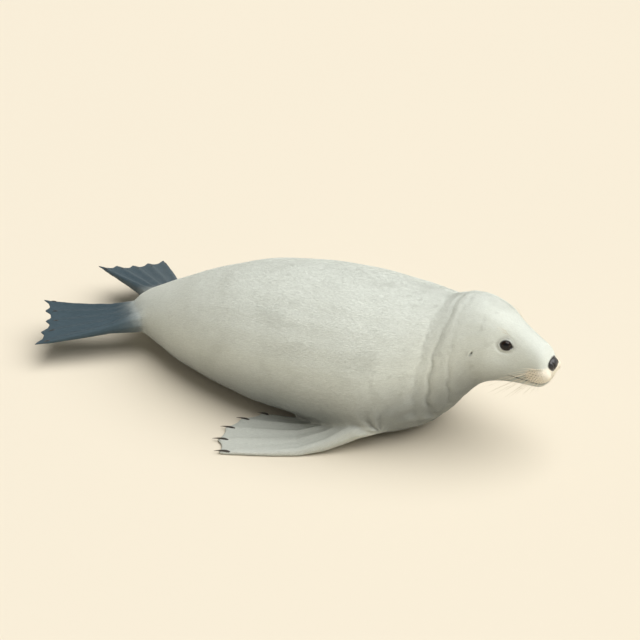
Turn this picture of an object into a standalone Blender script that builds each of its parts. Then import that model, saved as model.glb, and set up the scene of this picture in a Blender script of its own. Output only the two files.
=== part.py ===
"""Grey seal cow, life size, lying on its belly with its head held up.

Run with: blender --background --python part.py

Metres, +Z up. +X runs from the tail to the nose, +Y is the animal's left side, and the origin is on
the floor under the middle of the belly, which rests on it.

The flesh of head, neck, trunk and tail stem is lofted whole from named stations and parted with thin
plane cuts. Flippers are lofted fans of five digits, cut where they leave the body. Eyes, nose, whisker
pads, lower jaw and claws are pieces of their own, let in with a thin gap.
"""

import math
from dataclasses import dataclass

import bmesh
import bpy
from mathutils import Matrix, Vector

GAP = 0.0004  # between neighbouring pieces
SIDES = 24  # points round the body
FLOOR = 0.0

# ---------------------------------------------------------------- the body's stations


@dataclass(frozen=True)
class Station:
    """One cross-section of the body, across the X axis."""

    x: float
    top: float  # height of the back line
    bottom: float  # height of the belly line; under the floor means that it spreads out flat
    half_width: float
    widest: float  # height of the widest point
    upper: float = 2.0  # squareness of the upper half, 2 is an ellipse
    lower: float = 2.2  # squareness of the lower half


STATIONS = (
    Station(-0.773, 0.156, 0.077, 0.044, 0.117, 2.0, 2.0),  # end of the tail stem
    Station(-0.739, 0.180, 0.061, 0.079, 0.121, 2.1, 2.1),  # between the ankles
    Station(-0.672, 0.219, 0.038, 0.115, 0.127),  # heels
    Station(-0.576, 0.271, 0.012, 0.161, 0.136),  # pelvis
    Station(-0.432, 0.342, -0.008, 0.227, 0.154, 2.0, 2.3),  # hips
    Station(-0.259, 0.407, -0.015, 0.282, 0.175, 2.0, 2.4),  # loin
    Station(-0.077, 0.447, -0.021, 0.313, 0.188, 2.0, 2.5),  # belly
    Station(0.106, 0.467, -0.021, 0.319, 0.194, 2.0, 2.5),  # ribs
    Station(0.269, 0.474, -0.015, 0.303, 0.200, 2.0, 2.4),  # chest
    Station(0.384, 0.476, 0.000, 0.263, 0.213, 2.0, 2.3),  # shoulders
    Station(0.451, 0.482, 0.027, 0.217, 0.240, 2.0, 2.2),  # root of the neck
    Station(0.494, 0.496, 0.067, 0.184, 0.271),  # crease behind the hood of the neck
    Station(0.538, 0.509, 0.123, 0.164, 0.303),  # neck
    Station(0.578, 0.515, 0.177, 0.143, 0.332),  # nape
    Station(0.619, 0.509, 0.219, 0.123, 0.349, 2.1, 2.1),  # crown
    Station(0.662, 0.489, 0.241, 0.108, 0.349, 2.2, 2.1),  # cheeks
    Station(0.703, 0.463, 0.249, 0.088, 0.339, 2.2, 2.2),  # eyes
    Station(0.745, 0.437, 0.252, 0.071, 0.327, 2.3, 2.3),  # bridge of the muzzle
    Station(0.783, 0.413, 0.253, 0.062, 0.319, 2.4, 2.4),  # whisker pads
    Station(0.815, 0.392, 0.257, 0.059, 0.315, 2.4, 2.4),  # front of the muzzle
    Station(0.845, 0.371, 0.265, 0.053, 0.314, 2.3, 2.3),  # plane of the nose, before it is rounded
)
NOSE_X = STATIONS[-1].x
STEM_END_X = STATIONS[0].x
ROUND_NOSE = 0.040  # length over which the muzzle rounds off
ROUND_STEM = 0.029


@dataclass(frozen=True)
class Swell:
    """A soft bump, or a hollow where height is negative, on both sides of the body."""

    x: float
    angle: float  # degrees up from the horizontal, seen from the front
    along: float  # spread along X
    around: float  # spread in degrees
    height: float


SWELLS = (
    Swell(0.704, 38, 0.017, 15, -0.0086),  # eye sockets
    Swell(0.684, 62, 0.023, 13, 0.0048),  # brows
    Swell(0.645, -12, 0.031, 24, 0.0058),  # cheeks
    Swell(0.758, 90, 0.053, 26, -0.0022),  # flat bridge of the muzzle
    Swell(0.486, 50, 0.014, 60, -0.0080),  # crease behind the hood of the neck
    Swell(0.317, -22, 0.067, 24, 0.0134),  # upper arm under the skin
    Swell(-0.672, 5, 0.048, 30, 0.0096),  # heels
)

# ---------------------------------------------------------------- the head's own pieces

EYE_RADIUS = 0.0216
EYE_X = 0.7037
EYE_ANGLE = 31  # degrees above the widest line
EYE_SINK = 0.0144  # depth of its centre under the skin of the socket
NOSE_CENTRE = Vector((0.8275, 0.0, 0.3398))
NOSE_RADII = Vector((0.0206, 0.0288, 0.0216))
PAD_CENTRE = Vector((0.8026, 0.0331, 0.3149))
PAD_RADII = Vector((0.0470, 0.0331, 0.0317))
PAD_TURN = 14  # degrees that the pads point outwards
MOUTH_FRONT = Vector((NOSE_X, 0.0, 0.2840))
MOUTH_CORNER = Vector((0.7277, 0.0, 0.2975))
THROAT_CORNER = Vector((0.6874, 0.0, 0.2208))
JAW_RECESS = 0.0115  # how far the chin stands back from the nose

# ---------------------------------------------------------------- cuts between the parts of the body

HEAD_CUT = (Vector((0.5683, 0.0, 0.5184)), Vector((0.6202, 0.0, 0.2112)))  # nape, throat
NECK_CUT = (Vector((0.4608, 0.0, 0.4800)), Vector((0.4800, 0.0, 0.0528)))
CHEST_CUT = (Vector((0.1344, 0.0, 0.4608)), Vector((0.1344, 0.0, 0.0)))
HIP_CUT = (Vector((-0.3264, 0.0, 0.3840)), Vector((-0.3264, 0.0, 0.0)))

# ---------------------------------------------------------------- flippers and tail


@dataclass(frozen=True)
class Flipper:
    """A fan of five digits on the animal's right side; the left one is its mirror image."""

    root: Vector  # middle of the wrist or ankle, inside the body
    lengths: tuple  # digit 1, the outer one, to digit 5
    headings: tuple  # degrees from straight back, outwards, digit 1 to digit 5
    root_width: float
    root_thick: float
    palm_thick: float
    tip_thick: float
    web: float  # how far the web between two digits stands back from their tips
    ridge: float  # share by which the web is thinner than the digit beside it
    bow: float  # sideways curve of the digits, in degrees from root to tip
    root_height: float
    tip_height: float
    drop_by: float  # share of the length over which it comes down
    roll: float  # degrees that the outer edge hangs down


FORE = Flipper(
    root=Vector((0.338, -0.161, 0.0)),
    lengths=(0.534, 0.539, 0.519, 0.474, 0.409),
    headings=(42.0, 37.0, 32.0, 28.2, 26.0),
    root_width=0.101,
    root_thick=0.079,
    palm_thick=0.0442,
    tip_thick=0.0154,
    web=0.0154,
    ridge=0.30,
    bow=-12,
    root_height=0.094,
    tip_height=0.0058,
    drop_by=0.58,
    roll=0,
)
HIND = Flipper(
    root=Vector((-0.662, -0.050, 0.0)),
    lengths=(0.422, 0.398, 0.384, 0.394, 0.413),
    headings=(51, 44, 37, 30, 23),
    root_width=0.058,
    root_thick=0.100,
    palm_thick=0.0384,
    tip_thick=0.0115,
    web=0.0250,
    ridge=0.45,
    bow=-8,
    root_height=0.127,
    tip_height=0.108,
    drop_by=1.0,
    roll=6,
)
DIGIT_PLACES = (-1.0, -0.5, 0.0, 0.5, 1.0)  # across the fan, digit 1 first
RIM = 1.0 / 12.0  # how far across the fan's rounded rim reaches beyond the outer digits
EDGE_ROUNDING = 0.9  # width of that rim as a share of half the thickness
COLUMNS_PER_DIGIT = 3
ROWS = (0.0, 0.20, 0.38, 0.54, 0.69, 0.82, 0.93, 1.0)
TIP_ROUNDING = 0.85  # share of the thickness left where the tip's rim begins


@dataclass(frozen=True)
class Claws:
    """The claws of one flipper."""

    lengths: tuple  # digit 1 to digit 5
    radius: float
    start: float  # share of the digit's length at which the claw leaves the skin
    lift: float  # height of its root over the middle of the digit, as a share of its thickness
    curl: float  # degrees that it bends down from root to point


CLAW_SIDES = 5
CLAW_STEPS = 3
CLAW_SUNK = 0.35  # share of the claw's length that sits in the digit
FORE_CLAWS = Claws((0.0442, 0.0461, 0.0442, 0.0403, 0.0346), 0.0042, 0.955, 0.30, 26)
HIND_CLAWS = Claws((0.0192, 0.0173, 0.0163, 0.0173, 0.0192), 0.0025, 0.885, 0.36, 14)

TAIL_LENGTH = 0.1104
TAIL_ROOT = Vector((-0.7584, 0.0, 0.1162))
TAIL_HALF_WIDTH = 0.0298
TAIL_HALF_THICK = 0.0144
TAIL_DROOP = 12  # degrees

# ---------------------------------------------------------------- finishes: colour, roughness, metallic

FINISHES = {
    "coat": ((0.56, 0.57, 0.52), 0.75, 0.0),
    "fore_flipper_coat": ((0.44, 0.46, 0.42), 0.75, 0.0),
    "hind_flipper_coat": ((0.060, 0.085, 0.105), 0.70, 0.0),
    "whisker_pad_coat": ((0.84, 0.78, 0.68), 0.75, 0.0),
    "nose_skin": ((0.018, 0.020, 0.026), 0.35, 0.0),
    "eye": ((0.010, 0.011, 0.015), 0.08, 0.0),
    "claw": ((0.045, 0.040, 0.036), 0.40, 0.0),
}


def material(name):
    """The Principled material of a finish, made once."""
    found = bpy.data.materials.get(name)
    if found:
        return found
    colour, roughness, metallic = FINISHES[name]
    made = bpy.data.materials.new(name)
    made.use_nodes = True
    shader = made.node_tree.nodes["Principled BSDF"]
    shader.inputs["Base Color"].default_value = (*colour, 1.0)
    shader.inputs["Roughness"].default_value = roughness
    shader.inputs["Metallic"].default_value = metallic
    return made


# ---------------------------------------------------------------- curves through named values


def slopes(xs, ys):
    """Slopes of a smooth curve through the points that never overshoots them (Fritsch and Carlson)."""
    steps = [(b - a) / (xb - xa) for a, b, xa, xb in zip(ys, ys[1:], xs, xs[1:])]
    inner = [0.0 if a * b <= 0 else 2 * a * b / (a + b) for a, b in zip(steps, steps[1:])]
    return [steps[0], *inner, steps[-1]]


def curve_value(xs, ys, x):
    """The smooth curve's height at x."""
    slope = slopes(xs, ys)
    i = max(k for k in range(len(xs) - 1) if k == 0 or xs[k] <= x)
    width = xs[i + 1] - xs[i]
    t = min(max((x - xs[i]) / width, 0.0), 1.0)
    return (
        ys[i] * (1 + 2 * t) * (1 - t) ** 2
        + slope[i] * width * t * (1 - t) ** 2
        + ys[i + 1] * t * t * (3 - 2 * t)
        - slope[i + 1] * width * t * t * (1 - t)
    )


def body_value(name, x):
    """One field of the stations, smoothly in between."""
    return curve_value([s.x for s in STATIONS], [getattr(s, name) for s in STATIONS], x)


def smooth_step(t):
    """0 to 1 with soft ends, as t goes from 0 to 1."""
    t = min(max(t, 0.0), 1.0)
    return t * t * (3 - 2 * t)


# ---------------------------------------------------------------- meshes


def loft(rings):
    """A closed bmesh through rings of equally many points, with a flat cap on each end ring."""
    bm = bmesh.new()
    rows = [[bm.verts.new(p) for p in ring] for ring in rings]
    for a, b in zip(rows, rows[1:]):
        for i in range(len(a)):
            j = (i + 1) % len(a)
            bm.faces.new((a[i], a[j], b[j], b[i]))
    bmesh.ops.remove_doubles(bm, verts=bm.verts, dist=2e-5)
    open_edges = [e for e in bm.edges if e.is_boundary]
    bmesh.ops.holes_fill(bm, edges=open_edges, sides=0)
    bmesh.ops.triangulate(bm, faces=bm.faces)
    bmesh.ops.recalc_face_normals(bm, faces=bm.faces)
    return bm


def as_object(name, bm, finish, collection):
    """The bmesh as a named object of the collection, shaded smooth."""
    mesh = bpy.data.meshes.new(name)
    bm.to_mesh(mesh)
    bm.free()
    mesh.shade_smooth()
    mesh.set_sharp_from_angle(angle=math.radians(50))
    if finish:
        mesh.materials.append(material(finish))
    made = bpy.data.objects.new(name, mesh)
    collection.objects.link(made)
    return made


def cut(bm, point, normal):
    """Removes what lies on the side that the normal points to, and closes the cut."""
    geometry = [*bm.verts, *bm.edges, *bm.faces]
    bmesh.ops.bisect_plane(bm, geom=geometry, plane_co=point, plane_no=normal, clear_outer=True)
    bmesh.ops.holes_fill(bm, edges=[e for e in bm.edges if e.is_boundary], sides=0)
    bmesh.ops.recalc_face_normals(bm, faces=bm.faces)


def across(line):
    """The normal, pointing forwards, of the cut through a line in the animal's middle plane."""
    upper, lower = line
    down = (lower - upper).normalized()
    return Vector((-down.z, 0.0, down.x))


def ellipsoid(centre, radii, turn=0.0, grow=0.0, segments=14, rings=7):
    """A bmesh ellipsoid with its poles on X, turned about Z."""
    bm = bmesh.new()
    bmesh.ops.create_uvsphere(bm, u_segments=segments, v_segments=rings, radius=1.0)
    size = Vector(r + grow for r in radii)
    poles_on_x = Matrix.Rotation(math.pi / 2, 4, "Y")
    placed = Matrix.Translation(centre) @ Matrix.Rotation(turn, 4, "Z") @ Matrix.Diagonal((*size, 1.0))
    bmesh.ops.transform(bm, matrix=placed @ poles_on_x, verts=bm.verts)
    return bm


def cutter(name, bm):
    """A helper that Booleans take away from a part, left out of the model."""
    made = as_object(name, bm, None, bpy.data.collections["cutters"])
    made.hide_render = True
    made.display_type = "WIRE"
    return made


def take_away(piece, *cutters):
    """Cuts all the cutters out of the piece with one exact Boolean."""
    together = bpy.data.collections.new(f"cut_from_{piece.name}")
    for other in cutters:
        together.objects.link(other)
    boolean = piece.modifiers.new(together.name, "BOOLEAN")
    boolean.operation = "DIFFERENCE"
    boolean.solver = "EXACT"
    boolean.operand_type = "COLLECTION"
    boolean.collection = together


# ---------------------------------------------------------------- body


def end_rounding(x):
    """Share of the section's size left where the muzzle and the tail stem round off."""
    share = 1.0
    for end, length in ((NOSE_X, ROUND_NOSE), (STEM_END_X, ROUND_STEM)):
        t = 1.0 - abs(end - x) / length
        if t > 0:
            share = math.sqrt(max(1.0 - t * t, 0.0))
    return share


def surface_point(x, angle):
    """The body's surface on the left side at x, at an angle in degrees round its section."""
    top, bottom, half_width, widest = (
        body_value(name, x) for name in ("top", "bottom", "half_width", "widest")
    )
    c, s = math.cos(math.radians(angle)), math.sin(math.radians(angle))
    power = 2 / body_value("upper" if s > 0 else "lower", x)
    height = (top - widest) if s > 0 else (widest - bottom)
    scale = end_rounding(x)
    y = math.copysign(abs(c) ** power, c) * half_width * scale
    z = math.copysign(abs(s) ** power, s) * height * scale
    out = Vector((0.0, y, z))
    elevation = math.degrees(math.atan2(z, abs(y)))
    size = out.length
    for swell in SWELLS:
        away = ((x - swell.x) / swell.along) ** 2 + ((elevation - swell.angle) / swell.around) ** 2
        size += swell.height * math.exp(-away / 2) * scale
    point = out.normalized() * size
    return Vector((x, point.y, max(widest + point.z, FLOOR)))


def section(x):
    """The points of the body's cross-section at x, from its left side up and round."""
    return [surface_point(x, 360 * i / SIDES) for i in range(SIDES)]


def eye_place(sign):
    """The centre of an eye, under the skin of its socket."""
    here = surface_point(EYE_X, EYE_ANGLE)
    up = surface_point(EYE_X, EYE_ANGLE + 8) - here
    ahead = surface_point(EYE_X + 0.008, EYE_ANGLE) - here
    inwards = up.cross(ahead).normalized()
    centre = here + inwards * math.copysign(EYE_SINK, -inwards.y)
    return Vector((centre.x, centre.y * sign, centre.z))


def ring_places():
    """Where the body's rings stand: close together on the head, wider apart on the trunk."""
    steps = (
        (STEM_END_X + 0.0006, 0.007),
        (-0.754, 0.027),
        (-0.672, 0.058),
        (0.432, 0.0255),
        (0.634, 0.0205),
    )
    places = []
    for (start, step), end in zip(steps, [s[0] for s in steps[1:]] + [NOSE_X - ROUND_NOSE]):
        count = max(round((end - start) / step), 1)
        places += [start + (end - start) * k / count for k in range(count)]
    count = 5
    places += [NOSE_X - ROUND_NOSE * (1 - math.sin(math.pi / 2 * k / count)) for k in range(count)]
    return [*places, NOSE_X - 0.0003]


def body_bmesh():
    """The whole flesh from the muzzle to the end of the tail stem."""
    return loft([section(x) for x in ring_places()])


def body_slice(name, collection, ahead_of=None, behind=None):
    """The body between two cuts, each kept half a gap away."""
    bm = body_bmesh()
    if behind:
        normal = across(behind)
        cut(bm, behind[0] - normal * GAP / 2, normal)
    if ahead_of:
        normal = across(ahead_of)
        cut(bm, ahead_of[0] + normal * GAP / 2, -normal)
    return as_object(name, bm, "coat", collection)


def mouth_normal():
    """Upwards from the closed mouth's plane."""
    forward = (MOUTH_FRONT - MOUTH_CORNER).normalized()
    return Vector((-forward.z, 0.0, forward.x))


def jaw_back_normal():
    """Backwards from the plane that ends the lower jaw."""
    forward = across((MOUTH_CORNER, THROAT_CORNER))
    return -forward


def jaw_wedge(grow):
    """The wedge under the mouth and ahead of the throat that holds the lower jaw."""
    bm = bmesh.new()
    bmesh.ops.create_cube(bm, size=0.4)
    bmesh.ops.translate(bm, vec=MOUTH_CORNER, verts=bm.verts)
    cut(bm, MOUTH_CORNER + mouth_normal() * grow, mouth_normal())
    cut(bm, MOUTH_CORNER + jaw_back_normal() * grow, jaw_back_normal())
    return bm


def build_head(collection):
    """Head, lower jaw, whisker pads, nose and eyes."""
    nose_room = cutter("nose_room", ellipsoid(NOSE_CENTRE, NOSE_RADII, grow=GAP))
    rooms = [cutter("mouth_wedge", jaw_wedge(GAP / 2)), nose_room]
    for side, sign in (("left", 1), ("right", -1)):
        pad_centre = Vector((PAD_CENTRE.x, PAD_CENTRE.y * sign, PAD_CENTRE.z))
        turn = sign * math.radians(PAD_TURN)
        pad = ellipsoid(pad_centre, PAD_RADII, turn)
        cut(pad, Vector((0, sign * GAP / 2, 0)), Vector((0, -sign, 0)))
        cut(pad, MOUTH_CORNER + mouth_normal() * GAP / 2, -mouth_normal())
        take_away(as_object(f"whisker_pad_{side}", pad, "whisker_pad_coat", collection), nose_room)
        rooms.append(cutter(f"whisker_pad_room_{side}", ellipsoid(pad_centre, PAD_RADII, turn, GAP)))

        eye_radii = Vector((EYE_RADIUS, EYE_RADIUS, EYE_RADIUS))
        as_object(f"eye_{side}", ellipsoid(eye_place(sign), eye_radii), "eye", collection)
        rooms.append(cutter(f"eye_room_{side}", ellipsoid(eye_place(sign), eye_radii, grow=GAP)))

    take_away(body_slice("head", collection, ahead_of=HEAD_CUT), *rooms)
    as_object("nose", ellipsoid(NOSE_CENTRE, NOSE_RADII), "nose_skin", collection)

    jaw = body_bmesh()
    cut(jaw, MOUTH_CORNER - mouth_normal() * GAP / 2, mouth_normal())
    cut(jaw, MOUTH_CORNER - jaw_back_normal() * GAP / 2, jaw_back_normal())
    cut(jaw, Vector((NOSE_X - JAW_RECESS, 0, 0)), Vector((1, 0, 0)))
    as_object("lower_jaw", jaw, "coat", collection)


def build_trunk(collection):
    """Neck, chest, abdomen and hindquarters."""
    body_slice("neck", collection, ahead_of=NECK_CUT, behind=HEAD_CUT)
    body_slice("chest", collection, ahead_of=CHEST_CUT, behind=NECK_CUT)
    body_slice("abdomen", collection, ahead_of=HIP_CUT, behind=CHEST_CUT)
    body_slice("hindquarters", collection, behind=HIP_CUT)


# ---------------------------------------------------------------- flippers


def digit_length(flipper, place):
    """Length of the fan at a place across it, from -1 at digit 1 to 1 at digit 5."""
    inside = min(max(place, -1.0), 1.0)
    reach = curve_value(DIGIT_PLACES, flipper.lengths, inside)
    between = math.sin(math.pi * (inside + 1.0) * 2) ** 2
    return reach - flipper.web * between


def digit_ridge(flipper, place):
    """Thickness across the fan: digits stand up from the web between them."""
    return 1.0 + flipper.ridge * (math.cos(2 * math.pi * (place + 1.0) * 2) - 1.0) / 2


def on_fan(flipper, along, place):
    """A point of the fan's middle surface: along runs 0 to 1 from root to tip, place -1 to 1 across."""
    inside = min(max(place, -1.0), 1.0)
    turn = curve_value(DIGIT_PLACES, flipper.headings, inside) + flipper.bow * (along - 0.5)
    angle = math.radians(turn)
    middle = math.radians(flipper.headings[2])
    outwards = Vector((math.sin(middle), -math.cos(middle), 0.0))
    reach = digit_length(flipper, place) * along
    point = flipper.root - outwards * (flipper.root_width / 2 * inside)
    point += Vector((-math.cos(angle), -math.sin(angle), 0.0)) * reach
    edge = fan_thickness(flipper, along, inside) / 2 * EDGE_ROUNDING
    point += Vector((math.sin(angle), -math.cos(angle), 0.0)) * edge * (inside - place) / RIM
    drop = smooth_step(along / flipper.drop_by)
    hang = math.tan(math.radians(flipper.roll)) * (flipper.root_width / 2 + reach * 0.35) * inside
    point.z = flipper.root_height + (flipper.tip_height - flipper.root_height) * drop + hang * along
    return point


def fan_thickness(flipper, along, place):
    """Full thickness of the fan, which is round along the outer digits and at the tips."""
    palm = smooth_step(along / 0.45)
    base = flipper.root_thick + (flipper.palm_thick - flipper.root_thick) * palm
    base += (flipper.tip_thick - flipper.palm_thick) * smooth_step((along - 0.35) / 0.65)
    ridged = 1.0 + (digit_ridge(flipper, place) - 1.0) * smooth_step((along - 0.15) / 0.35)
    beyond = max(abs(place) - 1.0, 0.0) / RIM
    rim = math.sqrt(max(1.0 - beyond * beyond, 0.0))
    tip = 1.0 - (1.0 - TIP_ROUNDING) * smooth_step((along - 0.9) / 0.1)
    return base * ridged * rim * tip


def fan_columns():
    """Places across the fan, with two beyond each outer digit for the rounded rim."""
    half = 2 * COLUMNS_PER_DIGIT
    inner = [k / half for k in range(-half, half + 1)]
    outer = [1.0 + 0.7 * RIM, 1.0 + RIM]
    return [-k for k in reversed(outer)] + inner + outer


def fan_ring(flipper, along, closed=False):
    """A loop over the top of the flipper and back along its sole, which lies on the floor at lowest."""
    columns = fan_columns()
    middle = [on_fan(flipper, along, c) for c in columns]
    half = [0.0 if closed else fan_thickness(flipper, along, c) / 2 for c in columns]
    upper = [p + Vector((0, 0, h)) for p, h in zip(middle, half)]
    lower = [p - Vector((0, 0, h)) for p, h in zip(middle, half)]
    ring = upper + lower[-2:0:-1]
    return [Vector((p.x, p.y, max(p.z, FLOOR))) for p in ring]


def flipper_bmesh(flipper):
    """The fan as a closed mesh; its last ring closes the rim of the tips."""
    rings = [fan_ring(flipper, along) for along in ROWS]
    tip_rim = 1.0 + flipper.tip_thick / 2 / max(flipper.lengths)
    rings.append(fan_ring(flipper, tip_rim, closed=True))
    return loft(rings)


def horn(points, radii):
    """A closed bmesh of rings round a line of points that bends up or down."""
    rings = []
    for k, (point, radius) in enumerate(zip(points, radii)):
        along = (points[min(k + 1, len(points) - 1)] - points[max(k - 1, 0)]).normalized()
        sideways = along.cross(Vector((0, 0, 1))).normalized()
        upwards = sideways.cross(along)
        angles = [2 * math.pi * i / CLAW_SIDES for i in range(CLAW_SIDES)]
        rings.append([point + (sideways * math.cos(a) + upwards * math.sin(a)) * radius for a in angles])
    return loft(rings)


def claw_bmesh(flipper, claws, digit, grow=0.0):
    """A tapered claw, curled down, on a line that follows its digit."""
    place = DIGIT_PLACES[digit]
    length = claws.lengths[digit]
    here = on_fan(flipper, claws.start, place)
    onwards = (on_fan(flipper, claws.start + 0.02, place) - here).normalized()
    rise = fan_thickness(flipper, claws.start, place) * claws.lift
    point = here + Vector((0, 0, rise)) - onwards * length * CLAW_SUNK
    points, radii = [], []
    for k in range(CLAW_STEPS + 1):
        share = k / CLAW_STEPS
        radius = (1.0 - 0.86 * share**1.6) * claws.radius
        lowest = FLOOR + claws.radius * (1 - 0.6 * share) + GAP
        points.append(Vector((point.x, point.y, max(point.z, lowest))))
        radii.append(radius + grow)
        bend = math.radians(claws.curl) * (share - CLAW_SUNK)
        step = onwards * math.cos(bend) - Vector((0, 0, 1)) * math.sin(bend)
        point = point + step * length * (1 + CLAW_SUNK) / CLAW_STEPS
    points[0] -= onwards * grow
    points[-1] += onwards * grow
    return horn(points, radii)


def to_side(side, bm):
    """The right side's mesh as it is, or mirrored to the left side."""
    if side == "left":
        bmesh.ops.scale(bm, vec=Vector((1, -1, 1)), verts=bm.verts)
        bmesh.ops.reverse_faces(bm, faces=bm.faces)
    return bm


def build_flippers(collection):
    """Four flippers, each cut clear of the body, with its five claws let in."""
    body_room = cutter("body_room", body_bmesh())
    swell = body_room.modifiers.new("clearance", "DISPLACE")
    swell.mid_level = 0.0
    swell.strength = GAP
    for kind, flipper, claws, finish in (
        ("fore", FORE, FORE_CLAWS, "fore_flipper_coat"),
        ("hind", HIND, HIND_CLAWS, "hind_flipper_coat"),
    ):
        for side in ("left", "right"):
            rooms = [body_room]
            for digit in range(len(DIGIT_PLACES)):
                name = f"{kind}_claw_{side}_{digit + 1}"
                as_object(name, to_side(side, claw_bmesh(flipper, claws, digit)), "claw", collection)
                room = to_side(side, claw_bmesh(flipper, claws, digit, GAP))
                rooms.append(cutter(f"{name}_room", room))
            paddle = to_side(side, flipper_bmesh(flipper))
            take_away(as_object(f"{kind}_flipper_{side}", paddle, finish, collection), *rooms)


def build_tail(collection):
    """The short flat tail between the hind flippers."""
    count, sides = 7, 14
    rings = []
    for k in range(count):
        share = k / (count - 1)
        round_off = math.sqrt(max(1.0 - max((share - 0.55) / 0.45, 0.0) ** 2, 0.0)) * (1 - 0.35 * share)
        wide, thick = TAIL_HALF_WIDTH * round_off, TAIL_HALF_THICK * round_off
        back = TAIL_LENGTH * share
        centre = TAIL_ROOT - Vector((back, 0, back * math.tan(math.radians(TAIL_DROOP))))
        angles = [2 * math.pi * i / sides for i in range(sides)]
        rings.append([centre + Vector((0, wide * math.cos(a), thick * math.sin(a))) for a in angles])
    tail = as_object("tail", loft(rings), "coat", collection)
    take_away(tail, bpy.data.objects["body_room"])


def main():
    """Clears the scene and builds the seal."""
    for old in list(bpy.data.objects):
        bpy.data.objects.remove(old)
    for name in ("grey_seal", "cutters"):
        bpy.context.scene.collection.children.link(bpy.data.collections.new(name))
    collection = bpy.data.collections["grey_seal"]
    build_head(collection)
    build_trunk(collection)
    build_flippers(collection)
    build_tail(collection)


main()
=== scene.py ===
"""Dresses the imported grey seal.

The flesh is one skin, melted together from copies of the solids and carved with lids, lips, folds and
webs. A short flat coat of tufts lies over it, and the eyes, nose, whiskers and claws are pieces of
their own.
"""

import logging
import math
from dataclasses import dataclass, field
from enum import Enum
from typing import Union

import bmesh
import bpy
import numpy as np
from bmesh.types import BMesh
from bpy.types import Material, Mesh, Node, NodeSocket, NodeTree, Object
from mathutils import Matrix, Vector
from mathutils.bvhtree import BVHTree


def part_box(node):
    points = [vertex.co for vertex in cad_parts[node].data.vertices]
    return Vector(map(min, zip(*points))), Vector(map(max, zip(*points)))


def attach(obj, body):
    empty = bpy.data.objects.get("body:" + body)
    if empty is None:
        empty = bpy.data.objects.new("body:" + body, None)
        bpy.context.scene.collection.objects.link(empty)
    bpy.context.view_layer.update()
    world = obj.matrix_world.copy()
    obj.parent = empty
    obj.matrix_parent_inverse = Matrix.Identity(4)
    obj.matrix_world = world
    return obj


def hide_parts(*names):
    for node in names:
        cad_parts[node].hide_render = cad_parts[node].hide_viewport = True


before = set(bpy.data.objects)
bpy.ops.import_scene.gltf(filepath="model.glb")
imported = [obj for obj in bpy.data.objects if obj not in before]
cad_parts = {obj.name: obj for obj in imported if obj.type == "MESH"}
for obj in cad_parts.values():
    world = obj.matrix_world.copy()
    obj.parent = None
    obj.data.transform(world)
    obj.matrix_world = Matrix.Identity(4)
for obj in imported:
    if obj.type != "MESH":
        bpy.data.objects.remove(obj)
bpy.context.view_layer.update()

LOG = logging.getLogger("grey_seal")
BODY = "root"
KINDS = ("fore", "hind")  # of flippers
ROOT_HEIGHT = 0.7  # of a flipper's own height, where it leaves the body
FLOOR_GAP = 0.0012  # between the skin and the floor
Array = np.ndarray
Triple = tuple[float, float, float]
Feed = Union[NodeSocket, float, tuple]


class Side(Enum):
    """The animal's two sides, by the sign of Y."""

    LEFT = 1
    RIGHT = -1

    @property
    def word(self) -> str:
        """The side's name, as the solids spell it."""
        return self.name.lower()


class Region(Enum):
    """The parts of the skin that differ in their coat."""

    TRUNK = "trunk"
    FORE = "fore"
    HIND = "hind"


# ---------------------------------------------------------------- numbers and arrays


def ease(low: float, high: float, values: Array) -> Array:
    """A smooth step.

    Args:
        low: where it leaves 0.
        high: where it reaches 1.
        values: the values to read it at.

    Returns:
        The step at each value.
    """
    t = np.clip((values - low) / (high - low), 0.0, 1.0)
    return t * t * (3.0 - 2.0 * t)


def hill(values: Array, width: float) -> Array:
    """A smooth hill of height 1 round 0, about twice the width across."""
    return np.exp(-((values / width) ** 2))


def unit(vectors: Array) -> Array:
    """The same directions with length 1."""
    return vectors / np.maximum(np.linalg.norm(vectors, axis=-1, keepdims=True), 1e-9)


def dots(a: Array, b: Array) -> Array:
    """The dot product of each pair of rows."""
    return np.einsum("ij,ij->i", a, b)


def mirrored(place: Vector, side: Side) -> Array:
    """A place given on the left, taken to a side."""
    return np.array(place) * (1, side.value, 1)


def read(items: bpy.types.bpy_prop_collection, name: str, width: int, kind: type = np.float32) -> Array:
    """Reads one property of every item.

    Args:
        items: the mesh's vertices, edges, loops or attribute data.
        name: the property.
        width: how many numbers it has.
        kind: the type of number.

    Returns:
        An array with a row for each item, or a flat one where width is 1.
    """
    values = np.empty(len(items) * width, kind)
    items.foreach_get(name, values)
    return values.reshape(-1, width) if width > 1 else values


def nearest(tree: BVHTree, points: Array) -> tuple[Array, Array, Array]:
    """Finds the nearest place on a surface for many points.

    Args:
        tree: the surface.
        points: the points.

    Returns:
        The places, the surface's facing directions there, and the distances.
    """
    places = np.empty((len(points), 3))
    facing = np.empty((len(points), 3))
    away = np.empty(len(points))
    for i, point in enumerate(points.tolist()):
        places[i], facing[i], _, away[i] = tree.find_nearest(point)
    return places, facing, away


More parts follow.
